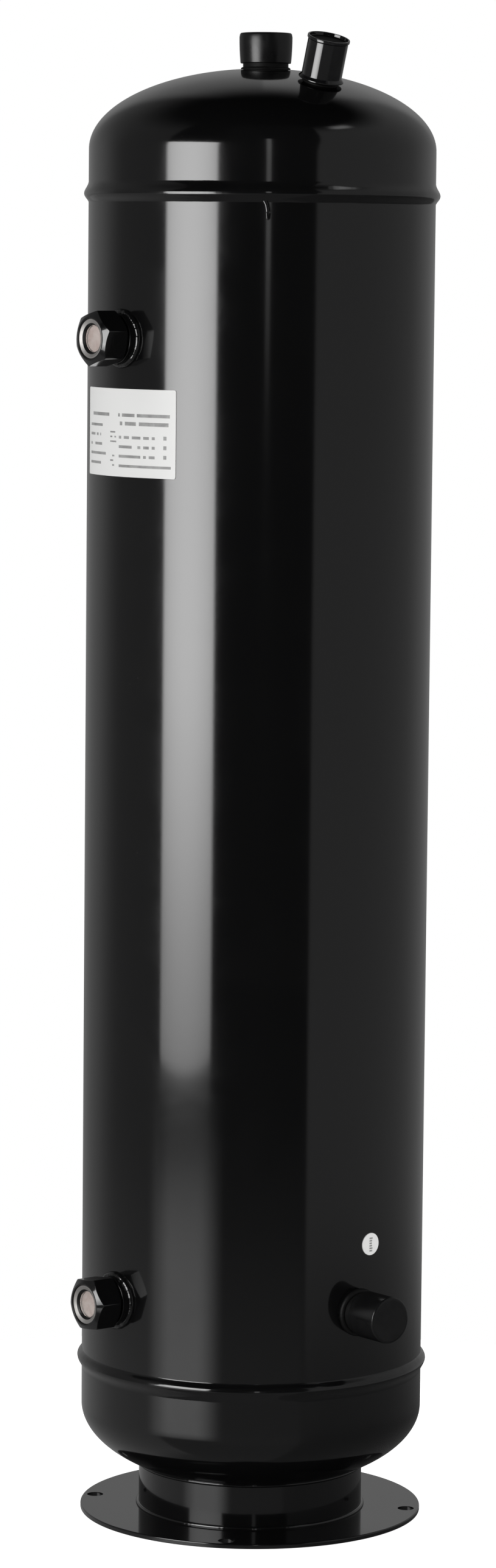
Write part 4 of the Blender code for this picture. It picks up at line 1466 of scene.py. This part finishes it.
# %% Wrap the foils round the shell
FOIL_BACK = 0.02
FOIL_FRONT = 0.40
LABEL_WIDTH = 92.7
LABEL_HEIGHT = 54.5
LABEL_CORNER = 1.2
LABEL_STRIPS = 48
CORNER_STRIPS = 5
LABEL_AZIMUTH = -52.5
STICKER_R = 7.0
STICKER_AZIMUTH = 42.6
STICKER_STRIPS = 32
STICKER_TRIM = 0.02


def foil(columns, azimuth, height, width, tallness):
    """A thin sheet on the shell. columns are (distance along the shell, half height)."""
    shape = bmesh.new()
    print_map = shape.loops.layers.uv.new("print")
    flat = {}
    skins = []
    for gap in (FOIL_BACK, FOIL_FRONT):
        skin = []
        for along, half in columns:
            out = outward(azimuth + math.degrees(along / SHELL_R)) * (SHELL_R + gap)
            for up in (-half, half):
                corner = shape.verts.new(out + Vector((0, 0, height + up)))
                flat[corner] = (along / width + 0.5, up / tallness + 0.5)
                skin.append(corner)
        skins.append(skin)
    back, front = skins
    for at in range(0, len(back) - 2, 2):
        for skin in skins:
            shape.faces.new((skin[at], skin[at + 2], skin[at + 3], skin[at + 1]))
        for edge in (at, at + 1):
            shape.faces.new((back[edge], back[edge + 2], front[edge + 2], front[edge]))
    for at in (0, len(back) - 2):
        shape.faces.new((back[at], back[at + 1], front[at + 1], front[at]))
    bmesh.ops.recalc_face_normals(shape, faces=shape.faces)
    for face in shape.faces:
        for loop in face.loops:
            loop[print_map].uv = flat[loop.vert]
    return shape


def label_columns():
    columns = []
    half_width, half = LABEL_WIDTH / 2, LABEL_HEIGHT / 2
    turns = [math.pi / 2 * step / CORNER_STRIPS for step in range(CORNER_STRIPS + 1)]
    round_in = [LABEL_CORNER * (1 - math.cos(turn)) for turn in turns]
    plain = LABEL_WIDTH - 2 * LABEL_CORNER
    even = [LABEL_CORNER + plain * step / LABEL_STRIPS for step in range(1, LABEL_STRIPS)]
    for from_left in round_in + even + [LABEL_WIDTH - inset for inset in reversed(round_in)]:
        inset = max(0.0, LABEL_CORNER - min(from_left, LABEL_WIDTH - from_left))
        drop = LABEL_CORNER - math.sqrt(LABEL_CORNER**2 - inset**2)
        columns.append((from_left - half_width, half - drop))
    return columns


def sticker_columns():
    shares = [step / STICKER_STRIPS for step in range(STICKER_STRIPS + 1)]
    angles = [math.pi * (STICKER_TRIM + (1 - 2 * STICKER_TRIM) * share) for share in shares]
    return [(-STICKER_R * math.cos(angle), STICKER_R * math.sin(angle)) for angle in angles]


label = foil(label_columns(), LABEL_AZIMUTH, middle("name_label").z, LABEL_WIDTH, LABEL_HEIGHT)
piece("tank_label", "name_label", label, LABEL_PRINT)
sticker = foil(sticker_columns(), STICKER_AZIMUTH, middle("round_sticker").z, 2 * STICKER_R, 2 * STICKER_R)
piece("tank_sticker", "round_sticker", sticker, STICKER_PRINT)

# %% [markdown]
# ## What stays as it was measured
# The pickup tube and the seals lie hidden inside the tank and the glasses. Their solids already have the
# right shape, so they stay, and only get the finishes of steel and sealing plastic.

# %% Dress the hidden solids
for solid, dress in (("pickup_tube", STEEL), ("upper_glass_seal", SEAL), ("lower_glass_seal", SEAL)):
    for holder in frame["nodes"][solid].material_slots:
        holder.material = dress
    print(solid, "keeps its solid in", dress.name)
